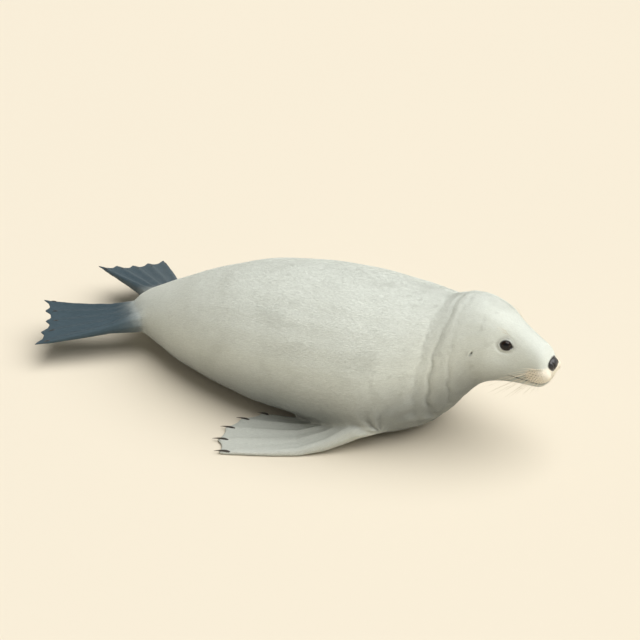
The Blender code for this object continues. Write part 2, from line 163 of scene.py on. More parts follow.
class Surface:
    """A mesh's points, links and facing directions as arrays."""

    def __init__(self, mesh: Mesh) -> None:
        """Reads the mesh.

        Args:
            mesh: the mesh, which write() changes.
        """
        self.mesh = mesh
        self.points = points_of(mesh)
        self.links = read(mesh.edges, "vertices", 2, np.int32)
        self.count = np.maximum(np.bincount(self.links.ravel(), minlength=len(self.points)), 1)

    def average(self, values: Array) -> Array:
        """The mean of each point's linked neighbours.

        Args:
            values: a row for each point.

        Returns:
            A row for each point.
        """
        a, b = self.links.T
        size = len(self.points)
        sums = [np.bincount(a, v[b], size) + np.bincount(b, v[a], size) for v in values.T]
        return np.stack(sums, axis=1) / self.count[:, None]

    def relaxed(self, values: Array, rounds: Array, pull: float = 0.9) -> Array:
        """Smooths values over the surface.

        Args:
            values: a row for each point.
            rounds: how many rounds each point takes part in.
            pull: how far a round moves a value towards its neighbours'.

        Returns:
            The smoothed values.
        """
        flat = values.ndim == 1
        out = values[:, None].copy() if flat else values.copy()
        for step in range(int(math.ceil(float(np.max(rounds))))):
            share = np.clip(rounds - step, 0.0, 1.0) * pull
            out += share[:, None] * (self.average(out) - out)
        return out[:, 0] if flat else out

    def facing(self) -> Array:
        """The direction that each point faces, for the points as written."""
        self.write()
        return read(self.mesh.vertex_normals, "vector", 3).astype(float)

    def write(self) -> None:
        """Puts the points back into the mesh."""
        self.mesh.vertices.foreach_set("co", self.points.astype(np.float32).ravel())
        self.mesh.update()


# ---------------------------------------------------------------- finishes


class Wiring:
    """Adds nodes to a node tree and links them."""

    def __init__(self, tree: NodeTree) -> None:
        """Keeps the node tree."""
        self.tree = tree

    def feed(self, target: NodeSocket, value: Feed) -> None:
        """Gives a socket a link, a number or a colour.

        Args:
            target: the socket.
            value: what it gets.
        """
        if isinstance(value, NodeSocket):
            self.tree.links.new(value, target)
        elif isinstance(value, tuple) and len(value) == 3 and target.type == "RGBA":
            target.default_value = (*value, 1.0)
        else:
            target.default_value = value

    def node(self, kind: str, inputs: dict, **settings: object) -> Node:
        """Adds a node.

        Args:
            kind: its type, after the word ShaderNode.
            inputs: what its inputs get, by name or by number.
            settings: its own settings.

        Returns:
            The node.
        """
        made = self.tree.nodes.new(f"ShaderNode{kind}")
        for name, value in settings.items():
            setattr(made, name, value)
        for name, value in inputs.items():
            self.feed(made.inputs[name], value)
        return made

    def span(self, value: NodeSocket, low: float, high: float, to_low: float = 0.0, to_high: float = 1.0) -> NodeSocket:
        """Maps a range of values to another, smoothly and clamped."""
        ends = {"From Min": low, "From Max": high, "To Min": to_low, "To Max": to_high}
        return self.node("MapRange", {"Value": value, **ends}, interpolation_type="SMOOTHSTEP").outputs["Result"]

    def mixed(self, share: Feed, a: Feed, b: Feed, how: str = "MIX") -> NodeSocket:
        """Two colours mixed by a share."""
        return self.node("Mix", {0: share, 6: a, 7: b}, data_type="RGBA", blend_type=how).outputs[2]


class Recipe(Wiring):
    """Builds one material out of shader nodes."""

    def __init__(self, name: str) -> None:
        """Starts the material with its Principled shader.

        Args:
            name: the material's name.
        """
        self.material = bpy.data.materials.new(name)
        self.material.use_nodes = True
        super().__init__(self.material.node_tree)
        self.shader = self.tree.nodes["Principled BSDF"]

    def set(self, **values: Feed) -> None:
        """Feeds the shader's inputs; coat_roughness means Coat Roughness.

        Args:
            values: what each input gets.
        """
        for name, value in values.items():
            words = name.replace("_", " ").title().replace("Ior", "IOR")
            self.feed(self.shader.inputs[words], value)

    def number(self, name: str) -> NodeSocket:
        """The number that the piece stores under a name."""
        return self.node("Attribute", {}, attribute_name=name).outputs["Fac"]

    def place(self) -> NodeSocket:
        """The place on the object."""
        return self.node("TexCoord", {}).outputs["Object"]

    def lie(self) -> NodeSocket:
        """The place along and across the lie of the coat, in metres."""
        return self.node("UVMap", {}, uv_map="Lie").outputs["UV"]

    def noise(
        self, vector: NodeSocket, scale: "float | Triple", detail: float = 2.0, rough: float = 0.5, warp: float = 0.0
    ) -> NodeSocket:
        """Soft noise from 0 to 1.

        Args:
            vector: the place that it is read at.
            scale: how fine it is, or how fine in each direction.
            detail: how many finer layers it has.
            rough: how strong those are.
            warp: how far it is twisted.

        Returns:
            The noise.
        """
        if isinstance(scale, tuple):
            vector, scale = self.node("Mapping", {"Vector": vector, "Scale": scale}).outputs["Vector"], 1.0
        look = {"Scale": scale, "Detail": detail, "Roughness": rough, "Distortion": warp}
        return self.node("TexNoise", {"Vector": vector, **look}).outputs["Fac"]

    def cells(self, vector: NodeSocket, scale: float) -> NodeSocket:
        """Cell noise: the distance from each cell's heart."""
        return self.node("TexVoronoi", {"Vector": vector, "Scale": scale}).outputs["Distance"]

    def math(self, operation: str, *values: Feed) -> NodeSocket:
        """One step of arithmetic."""
        return self.node("Math", dict(enumerate(values)), operation=operation).outputs["Value"]

    def shaded(self, colour: NodeSocket, shade: NodeSocket) -> NodeSocket:
        """A colour made lighter or darker by a number."""
        grey = self.node("CombineColor", dict.fromkeys(range(3), shade)).outputs["Color"]
        return self.mixed(1.0, colour, grey, "MULTIPLY")

    def bump(self, height: NodeSocket, strength: float, distance: float, **under: NodeSocket) -> NodeSocket:
        """A bump from a height, over an earlier one given as Normal."""
        inputs = {"Height": height, "Strength": strength, "Distance": distance, **under}
        return self.node("Bump", inputs).outputs["Normal"]


@dataclass(frozen=True)
class Markings:
    """The colours of the coat, the same for the skin and for every tuft."""

    back: Triple = (0.76, 0.80, 0.745)
    # painted shade: the coat turns darker and cooler towards the bottom, standing in for the shade under the body
    belly: Triple = (0.30, 0.322, 0.312)
    blotch: Triple = (0.40, 0.42, 0.37)
    fore: Triple = (0.56, 0.585, 0.54)
    hind: Triple = (0.050, 0.084, 0.106)
    pad: Triple = (0.93, 0.87, 0.74)
    # dark bare skin, also used as painted shade in the ear slits and the sunk sockets
    bare: Triple = (0.030, 0.028, 0.028)
    wet: Triple = (0.20, 0.19, 0.17)
    blotch_depth: float = 0.34
    small_depth: float = 0.7
    dampness: float = 0.30

    def paint(self, recipe: Recipe) -> NodeSocket:
        """Builds the coat's colour from the place on the body and the stored shares.

        Args:
            recipe: the material being built.

        Returns:
            The colour.
        """
        place = recipe.place()
        broad = recipe.span(recipe.noise(place, 5.5, detail=3.0, rough=0.55, warp=0.6), 0.52, 0.70)
        spots = recipe.span(recipe.noise(place, 21.0, warp=0.4), 0.60, 0.70)
        both = recipe.math("MAXIMUM", broad, recipe.math("MULTIPLY", spots, self.small_depth))
        spread = recipe.math("MULTIPLY", recipe.number("mottle"), self.blotch_depth)
        # painted shade: the colour darkens towards the bottom of the body
        colour = recipe.mixed(recipe.number("underside"), self.back, self.belly)
        colour = recipe.mixed(recipe.math("MULTIPLY", both, spread), colour, self.blotch)
        for name in ("fore", "hind", "pad"):
            colour = recipe.mixed(recipe.number(name), colour, getattr(self, name))
        wet = recipe.math("MULTIPLY", recipe.number("damp"), self.dampness)
        return recipe.mixed(recipe.number("bare"), recipe.mixed(wet, colour, self.wet), self.bare)


@dataclass(frozen=True)
class SkinFinish:
    """The skin under the coat, with the coat's own grain in its bumps."""

    markings: Markings
    name: str = "seal_skin"
    # painted shade: the skin seen between the tufts is a little darker
    shade: float = 0.98

    def material(self) -> Material:
        """Builds the material."""
        recipe = Recipe(self.name)
        recipe.set(sheen_weight=0.12, sheen_roughness=0.45, specular_ior_level=0.35)
        lie = recipe.lie()
        strands = recipe.noise(lie, (70.0, 900.0, 1.0), rough=0.6)
        locks = recipe.noise(lie, (38.0, 210.0, 1.0), warp=0.3)
        streak = recipe.span(strands, 0.25, 0.75, 0.86 * self.shade, 1.08 * self.shade)
        recipe.set(base_color=recipe.shaded(self.markings.paint(recipe), streak))
        coarse = recipe.bump(locks, 0.55, 0.0016)
        recipe.set(normal=recipe.bump(strands, 0.55, 0.0007, Normal=coarse))
        recipe.set(roughness=recipe.span(recipe.number("bare"), 0.2, 1.0, 0.62, 0.34))
        return recipe.material


@dataclass(frozen=True)
class CoatFinish:
    """The tufts: darker at their roots with painted shade, each a little lighter or darker than the next."""

    markings: Markings
    name: str = "seal_coat"
    unevenness: float = 0.05

    def material(self) -> Material:
        """Builds the material."""
        recipe = Recipe(self.name)
        recipe.set(roughness=0.55, specular_ior_level=0.30, sheen_weight=0.15, sheen_roughness=0.4)
        strands = recipe.noise(recipe.lie(), (60.0, 2600.0, 1.0), rough=0.6)
        recipe.set(normal=recipe.bump(strands, 0.45, 0.0004))
        # painted shade: the tufts darken towards their roots, where they lie in each other's shade
        root = recipe.span(recipe.number("along"), 0.0, 0.75, 0.90, 1.02)
        tone = recipe.math("MULTIPLY_ADD", recipe.number("tone"), self.unevenness, 1.0)
        grain = recipe.span(strands, 0.3, 0.7, 0.92, 1.05)
        shade = recipe.math("MULTIPLY", recipe.math("MULTIPLY", root, tone), grain)
        recipe.set(base_color=recipe.shaded(self.markings.paint(recipe), shade))
        return recipe.material


@dataclass(frozen=True)
class EyeFinish:
    """A wet dark eye with a barely seen brown iris."""

    name: str = "seal_eye"
    black: Triple = (0.003, 0.003, 0.004)
    light_brown: Triple = (0.022, 0.011, 0.006)
    dark_brown: Triple = (0.008, 0.004, 0.003)
    rim: Triple = (0.006, 0.005, 0.005)
    pupil: float = 0.42
    iris: float = 0.72

    def material(self) -> Material:
        """Builds the material."""
        recipe = Recipe(self.name)
        recipe.set(roughness=0.3, specular_ior_level=0.0, coat_weight=1.0, coat_roughness=0.02, coat_ior=1.38)
        away = recipe.number("from_axis")
        rays = recipe.noise(recipe.place(), (900.0, 900.0, 900.0), detail=3.0, rough=0.6)
        brown = recipe.mixed(rays, self.light_brown, self.dark_brown)
        inner = recipe.span(away, self.pupil - 0.05, self.pupil + 0.05)
        outer = recipe.span(away, self.iris - 0.04, self.iris + 0.06)
        recipe.set(base_color=recipe.mixed(outer, recipe.mixed(inner, self.black, brown), self.rim))
        return recipe.material


@dataclass(frozen=True)
class NoseFinish:
    """Black pebbled leather, moist and faintly worn to grey on its ridges, with painted shade in its nostril pits."""

    name: str = "seal_nose"
    dark: Triple = (0.014, 0.015, 0.019)
    worn: Triple = (0.055, 0.058, 0.066)
    nostril: Triple = (0.004, 0.004, 0.005)

    def material(self) -> Material:
        """Builds the material."""
        recipe = Recipe(self.name)
        recipe.set(coat_weight=0.35, coat_roughness=0.22, specular_ior_level=0.5)
        place = recipe.place()
        pebbles = recipe.cells(place, 620.0)
        patches = recipe.noise(place, 90.0, detail=3.0, rough=0.6)
        share = recipe.math("MULTIPLY", recipe.span(patches, 0.45, 0.70), recipe.span(pebbles, 0.6, 0.1))
        colour = recipe.mixed(share, self.dark, self.worn)
        # painted shade: the nostril pits darken with their depth
        recipe.set(base_color=recipe.mixed(recipe.number("hollow"), colour, self.nostril))
        recipe.set(roughness=recipe.span(patches, 0.3, 0.7, 0.34, 0.50))
        fine = recipe.bump(recipe.noise(place, 1500.0), 0.25, 0.0002)
        recipe.set(normal=recipe.bump(pebbles, 0.55, 0.0006, Normal=fine))
        return recipe.material


@dataclass(frozen=True)
class ClawFinish:
    """Dark horn with lengthwise grain, paler towards the worn tip."""

    name: str = "seal_claw"
    dark: Triple = (0.022, 0.019, 0.017)
    brown: Triple = (0.060, 0.050, 0.042)
    tip: Triple = (0.20, 0.165, 0.125)

    def material(self) -> Material:
        """Builds the material."""
        recipe = Recipe(self.name)
        recipe.set(coat_weight=0.15, coat_roughness=0.3, specular_ior_level=0.5)
        grain = recipe.noise(recipe.place(), (160.0, 1100.0, 1100.0), detail=3.0, rough=0.6)
        worn = recipe.span(recipe.number("along"), 0.45, 1.0, 0.0, 0.8)
        recipe.set(base_color=recipe.mixed(worn, recipe.mixed(grain, self.dark, self.brown), self.tip))
        recipe.set(roughness=recipe.span(grain, 0.3, 0.7, 0.34, 0.5), normal=recipe.bump(grain, 0.4, 0.0004))
        return recipe.material


@dataclass(frozen=True)
class WhiskerFinish:
    """Stiff horny whiskers, dark at the root and ivory along their length."""

    name: str = "seal_whisker"
    root: Triple = (0.16, 0.125, 0.09)
    straw: Triple = (0.62, 0.54, 0.40)
    ivory: Triple = (0.80, 0.74, 0.62)

    def material(self) -> Material:
        """Builds the material."""
        recipe = Recipe(self.name)
        recipe.set(roughness=0.35, specular_ior_level=0.5)
        pale = recipe.mixed(recipe.noise(recipe.place(), 60.0), self.straw, self.ivory)
        past_root = recipe.span(recipe.number("along"), 0.0, 0.18)
        recipe.set(base_color=recipe.mixed(past_root, self.root, pale))
        return recipe.material


@dataclass(frozen=True)
class FloorFinish:
    """The plain pale studio floor."""

    name: str = "studio_floor"
    colour: Triple = (0.760, 0.699, 0.585)
    darkest: float = 0.985

    def material(self) -> Material:
        """Builds the material."""
        recipe = Recipe(self.name)
        darker = tuple(c * self.darkest for c in self.colour)
        tint = recipe.noise(recipe.place(), 0.4, detail=1.0)
        recipe.set(roughness=0.9, specular_ior_level=0.1, base_color=recipe.mixed(tint, self.colour, darker))
        return recipe.material


# ---------------------------------------------------------------- meshes and pieces


def points_of(mesh: Mesh) -> Array:
    """The points of a mesh."""
    return read(mesh.vertices, "co", 3).astype(float)


def places_in(bm: BMesh) -> Array:
    """The points of a bmesh."""
    return np.array([v.co for v in bm.verts])


def moved(bm: BMesh, places: Array) -> None:
    """Moves the points of a bmesh to new places."""
    for vert, place in zip(bm.verts, places):
        vert.co = place


def stored(mesh: Mesh, name: str) -> Array:
    """One stored number for each point of a mesh."""
    return read(mesh.attributes[name].data, "value", 1)


def attribute(mesh: Mesh, name: str, values: Array) -> None:
    """Stores one number for each point of a mesh."""
    made = mesh.attributes.new(name, "FLOAT", "POINT")
    made.data.foreach_set("value", values.astype(np.float32))


def uv_map(mesh: Mesh, name: str, places: Array) -> None:
    """Stores a UV place for each corner of a mesh."""
    layer = mesh.uv_layers.new(name=name, do_init=False)
    layer.uv.foreach_set("vector", places.astype(np.float32).ravel())


def smooth_shading(mesh: Mesh) -> None:
    """Shades every face smooth."""
    mesh.polygons.foreach_set("use_smooth", np.ones(len(mesh.polygons), bool))


def as_mesh(name: str, bm: BMesh) -> Mesh:
    """Turns a bmesh into a mesh as it is, and frees it.

    Args:
        name: the mesh's name.
        bm: the bmesh.

    Returns:
        The mesh.
    """
    mesh = bpy.data.meshes.new(name)
    bm.to_mesh(mesh)
    bm.free()
    return mesh


def outward_mesh(name: str, bm: BMesh) -> Mesh:
    """Turns a bmesh into a mesh with its faces outwards, and frees it."""
    bmesh.ops.recalc_face_normals(bm, faces=bm.faces)
    return as_mesh(name, bm)


def in_scene(name: str, data: bpy.types.ID) -> Object:
    """Makes an object and puts it in the scene.

    Args:
        name: the object's name.
        data: its mesh, light or camera.

    Returns:
        The object.
    """
    made = bpy.data.objects.new(name, data)
    bpy.context.scene.collection.objects.link(made)
    return made


def put(name: str, mesh: Mesh, material: Material, slot: str, *stands_for: str) -> Object:
    """Makes a finished piece of the animal out of a mesh.

    Args:
        name: the piece's name.
        mesh: its mesh, in place.
        material: its finish.
        slot: the slot name for its finish; not used.
        stands_for: the CAD nodes that it replaces.

    Returns:
        The object.
    """
    mesh.materials.clear()
    mesh.materials.append(material)
    smooth_shading(mesh)
    piece = in_scene(name, mesh)
    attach(piece, BODY)
    if stands_for:
        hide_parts(*stands_for)
    mesh.calc_loop_triangles()
    LOG.info("%s: %d triangles", name, len(mesh.loop_triangles))
    return piece


def applied(mesh: Mesh, kind: str, groups: "dict[str, Array] | None" = None, **settings: object) -> Mesh:
    """A mesh with one modifier applied.

    Args:
        mesh: the mesh, which is used up.
        kind: the modifier's type.
        groups: weights for vertex groups, by name.
        settings: the modifier's settings.

    Returns:
        The new mesh.
    """
    holder = in_scene("work", mesh)
    for name, weights in (groups or {}).items():
        group = holder.vertex_groups.new(name=name)
        for level in np.unique(weights):
            group.add(np.flatnonzero(weights == level).tolist(), float(level), "REPLACE")
    modifier = holder.modifiers.new("work", kind)
    for name, value in settings.items():
        setattr(modifier, name, value)
    graph = bpy.context.evaluated_depsgraph_get()
    made = bpy.data.meshes.new_from_object(holder.evaluated_get(graph), depsgraph=graph)
    bpy.data.objects.remove(holder)
    bpy.data.meshes.remove(mesh)
    return made


def merged_solid(node: str) -> BMesh:
    """A copy of a CAD node's solid with its loose triangles joined.

    Args:
        node: the solid's name.

    Returns:
        The copy.
    """
    bm = bmesh.new()
    bm.from_mesh(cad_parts[node].data)
    bmesh.ops.remove_doubles(bm, verts=bm.verts, dist=1e-6)
    bmesh.ops.recalc_face_normals(bm, faces=bm.faces)
    return bm


# ---------------------------------------------------------------- places on the body


def middle_of(node: str) -> Vector:
    """The middle of a solid's box."""
    low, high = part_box(node)
    return (low + high) / 2


def radii_of(node: str) -> Vector:
    """Half the size of a solid's box."""
    low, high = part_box(node)
    return (high - low) / 2


def root_of(kind: str, side: Side) -> Vector:
    """Where a flipper leaves the body.

    Args:
        kind: fore or hind.
        side: the flipper's side.

    Returns:
        A place at the front of its box, next to the body.
    """
    low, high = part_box(f"{kind}_flipper_{side.word}")
    inner = low.y if side is Side.LEFT else high.y
    return Vector((high.x, inner, high.z * ROOT_HEIGHT))


def claw_nodes(kind: str, side: Side) -> list[str]:
    """The solids of a flipper's claws."""
    return [f"{kind}_claw_{side.word}_{k}" for k in range(1, 6)]


@dataclass(frozen=True)
class Landmarks:
    """Where the parts of the body are, from the solids' boxes."""

    nose: Vector
    nose_radii: Vector
    eyes: dict[Side, Vector]
    eye_radius: float
    eye_facing: Vector
    pads: dict[Side, Vector]
    pad_radii: Vector
    roots: dict[tuple[str, Side], Vector]
    claws: dict[tuple[str, Side], list[Vector]]
    ear: Vector = field(default_factory=lambda: Vector((0.612, 0.122, 0.372)))
    mouth_front: Vector = field(default_factory=lambda: Vector((0.845, 0.0, 0.284)))
    mouth_corner: Vector = field(default_factory=lambda: Vector((0.7277, 0.0, 0.2975)))

    @staticmethod
    def measured() -> "Landmarks":
        """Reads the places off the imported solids."""
        flippers = [(kind, side) for kind in KINDS for side in Side]
        return Landmarks(
            nose=middle_of("nose"),
            nose_radii=radii_of("nose"),
            eyes={side: middle_of(f"eye_{side.word}") for side in Side},
            eye_radius=radii_of("eye_left").x,
            eye_facing=Vector((0.424, 0.868, 0.257)).normalized(),
            pads={side: middle_of(f"whisker_pad_{side.word}") for side in Side},
            pad_radii=radii_of("whisker_pad_left"),
            roots={flipper: root_of(*flipper) for flipper in flippers},
            claws={flipper: [middle_of(node) for node in claw_nodes(*flipper)] for flipper in flippers},
        )

    def eye_axes(self, side: Side) -> Array:
        """The directions forwards, up and out of one eye, as rows.

        Args:
            side: the eye's side.

        Returns:
            The three directions.
        """
        out = mirrored(self.eye_facing, side)
        front = np.array((1.0, 0.0, -0.15))
        front = unit(front - out * front.dot(out))
        up = np.cross(out, front) * side.value
        return np.array((front, up, out))


@dataclass(frozen=True)
class Almond:
    """The opening between the lids, drawn out a little to its corners."""

    marks: Landmarks
    half_width: float = 0.0156
    upper: float = 0.84
    lower: float = 0.92
    front_corner: float = 0.17
    back_corner: float = 0.07

    def stretch(self, turn: Array) -> Array:
        """How far the opening reaches round the eye's axis.

        Args:
            turn: the direction, 0 towards the nose and a quarter turn upwards.

        Returns:
            A share of the opening's half width.
        """
        level = np.cos(turn) ** 2
        height = np.where(np.sin(turn) > 0, self.upper, self.lower)
        corners = self.front_corner * hill(turn, 0.30) + self.back_corner * hill(np.abs(turn) - math.pi, 0.35)
        return level + height * (1 - level) + corners

    def beyond(self, side: Side, points: Array) -> Array:
        """How far each point lies beyond the lids' edge, seen along the eye's axis.

        Args:
            side: the eye's side.
            points: the points.

        Returns:
            Distances, negative inside the opening and large far from the eye.
        """
        away = points - np.array(self.marks.eyes[side])
        front, up, _ = self.marks.eye_axes(side) @ away.T
        past = np.hypot(front, up) / self.stretch(np.arctan2(up, front)) - self.half_width
        return np.where(np.linalg.norm(away, axis=1) < 3 * self.marks.eye_radius, past, 1.0)


TRUNK = (
    "abdomen", "chest", "neck", "hindquarters", "head", "lower_jaw", "whisker_pad_left", "whisker_pad_right", "tail",
)
FLESH = TRUNK + tuple(f"{kind}_flipper_{side.word}" for kind in KINDS for side in Side)
LET_IN = ("nose", "eye_left", "eye_right")  # solids that the skin runs under
AXIS_X = (-0.77, -0.40, -0.20, 0.0, 0.30, 0.50, 0.60, 0.70, 0.82)
AXIS_Z = (0.117, 0.175, 0.205, 0.225, 0.235, 0.29, 0.352, 0.352, 0.318)


def axis_height(x: Array) -> Array:
    """Height of the body's middle line."""
    return np.interp(x, AXIS_X, AXIS_Z)


class Regions:
    """Tells which points of the skin belong to the flippers."""

    REACH = 0.03

    def __init__(self) -> None:
        """Builds a search tree for the trunk and for each kind of flipper."""
        names = {Region.TRUNK: TRUNK}
        for kind in KINDS:
            names[Region(kind)] = [node for node in FLESH if node.startswith(f"{kind}_")]
        self.trees = {region: self.tree(nodes) for region, nodes in names.items()}
        self.boxes = {region: [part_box(n) for n in nodes] for region, nodes in names.items()}

    @staticmethod
    def tree(nodes: list[str]) -> BVHTree:
        """A search tree over several solids.

        Args:
            nodes: the solids.

        Returns:
            The tree.
        """
        bm = bmesh.new()
        for node in nodes:
            bm.from_mesh(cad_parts[node].data)
        made = BVHTree.FromBMesh(bm)
        bm.free()
        return made

    def share(self, region: Region, points: Array) -> Array:
        """How far each point belongs to one kind of flipper.

        Args:
            region: the kind of flipper.
            points: the points.

        Returns:
            From 0 on the trunk to 1 on the flipper.
        """
        inside = np.zeros(len(points), bool)
        for low, high in self.boxes[region]:
            above = points > np.array(low) - self.REACH
            below = points < np.array(high) + self.REACH
            inside |= (above & below).all(axis=1)
        found = np.flatnonzero(inside)
        own = nearest(self.trees[region], points[found])[2]
        body = nearest(self.trees[Region.TRUNK], points[found])[2]
        share = np.zeros(len(points))
        share[found] = ease(0.35, 0.85, body / (own + body + 1e-5)) * ease(0.03, 0.012, own)
        return share


# ---------------------------------------------------------------- the lids


@dataclass(frozen=True)
class Lids:
    """The lids round one eye, from the ball out into the skin."""

    almond: Almond
    side: Side
    steps: int = 96
    on_ball: float = 0.0006
    slope: float = 0.30
    merge_from: float = 0.0016
    merge_to: float = 0.0075
    beyond_socket: float = 0.0098
    reaches: tuple = (-22, -6, -1, 4, 12, 21, 30, 42, 56, 70, 85, 100, 116)  # 0.1 mm, as the next
    lifts: tuple = (-16, -3, 6, 13, 18, 19, 16, 11, 8, 6, 3, -4, -18)
    bare: tuple = (1.0, 1.0, 1.0, 1.0, 1.0, 1.0, 0.7, 0.25, 0.0, 0.0, 0.0, 0.0, 0.0)

    def profile(self) -> tuple[Array, Array]:
        """How far out and how high the lids' section runs, in metres."""
        return np.array(self.reaches) / 10000, np.array(self.lifts) / 10000

    def mesh(self, skin: BVHTree) -> Mesh:
        """Spins the lids' profile round the eye, draws it out to corners and runs it into the skin.

        Args:
            skin: the skin, sunk under the eye.

        Returns:
            The lids, with lid stored as 1.
        """
        reaches, lifts = self.profile()
        bm = bmesh.new()
        line = [bm.verts.new((self.almond.half_width + reach, 0, 0)) for reach in reaches]
        edges = [bm.edges.new(pair) for pair in zip(line, line[1:])]
        turned = {"cent": (0, 0, 0), "axis": (0, 0, 1), "angle": 2 * math.pi, "steps": self.steps}
        bmesh.ops.spin(bm, geom=line + edges, use_merge=True, **turned)
        bmesh.ops.remove_doubles(bm, verts=bm.verts, dist=1e-6)
        x, y, _ = places_in(bm).T
        turn = np.arctan2(y, x)
        beyond = np.hypot(x, y) - self.almond.half_width
        flat = self.flat(turn, beyond)
        held = self.flat(turn, np.minimum(beyond, self.on_ball))
        ball = np.sqrt(self.almond.marks.eye_radius**2 - (held**2).sum(axis=1))
        ball -= self.slope * np.linalg.norm(flat - held, axis=1)
        outer = self.skin_heights(skin, self.flat(turn, np.maximum(beyond, self.beyond_socket)))
        share = ease(self.merge_from, self.merge_to, beyond)
        height = ball + (outer - ball) * share + np.interp(beyond, reaches, lifts)
        moved(bm, self.placed(np.column_stack([flat, height])))
        bmesh.ops.triangulate(bm, faces=bm.faces)
        bmesh.ops.recalc_face_normals(bm, faces=bm.faces)
        out = Vector(self.almond.marks.eye_axes(self.side)[2])
        if sum(face.normal.dot(out) for face in bm.faces) < 0:
            bmesh.ops.reverse_faces(bm, faces=bm.faces)
        made = as_mesh("lids", bm)
        attribute(made, "lid", np.ones(len(made.vertices)))
        return made

    def placed(self, local: Array) -> Array:
        """Points from the eye's own axes to the body's."""
        marks = self.almond.marks
        return local @ marks.eye_axes(self.side) + np.array(marks.eyes[self.side])

    def flat(self, turn: Array, beyond: Array) -> Array:
        """Places across the eye's axis, from turns round it and distances beyond the lids' edge."""
        away = (self.almond.half_width + beyond) * self.almond.stretch(turn)
        return np.stack([away * np.cos(turn), away * np.sin(turn)], axis=1)

    def skin_heights(self, skin: BVHTree, flat: Array) -> Array:
        """How high the skin stands along the eye's axis.

        Args:
            skin: the skin.
            flat: places across the axis.

        Returns:
            A height for each place, from the eye's middle.
        """
        start = 3 * self.almond.marks.eye_radius
        inwards = Vector(-self.almond.marks.eye_axes(self.side)[2])
        above = self.placed(np.column_stack([flat, np.full(len(flat), start)]))
        return np.array([start - skin.ray_cast(Vector(place), inwards)[3] for place in above])

    def bareness(self, points: Array) -> Array:
        """How bare the lids are at each point, from the wet rim outwards."""
        return np.interp(self.almond.beyond(self.side, points), self.profile()[0], self.bare)


# ---------------------------------------------------------------- the skin

KNUCKLES = ((0.42, 0.07), (0.68, 0.06), (0.88, 0.05))  # place along the digit, width
NECK_FOLDS = ((0.470, 0.12, 0.015, 0.55), (0.512, 0.16, 0.013, 1.0), (0.553, 0.08, 0.011, 0.45))


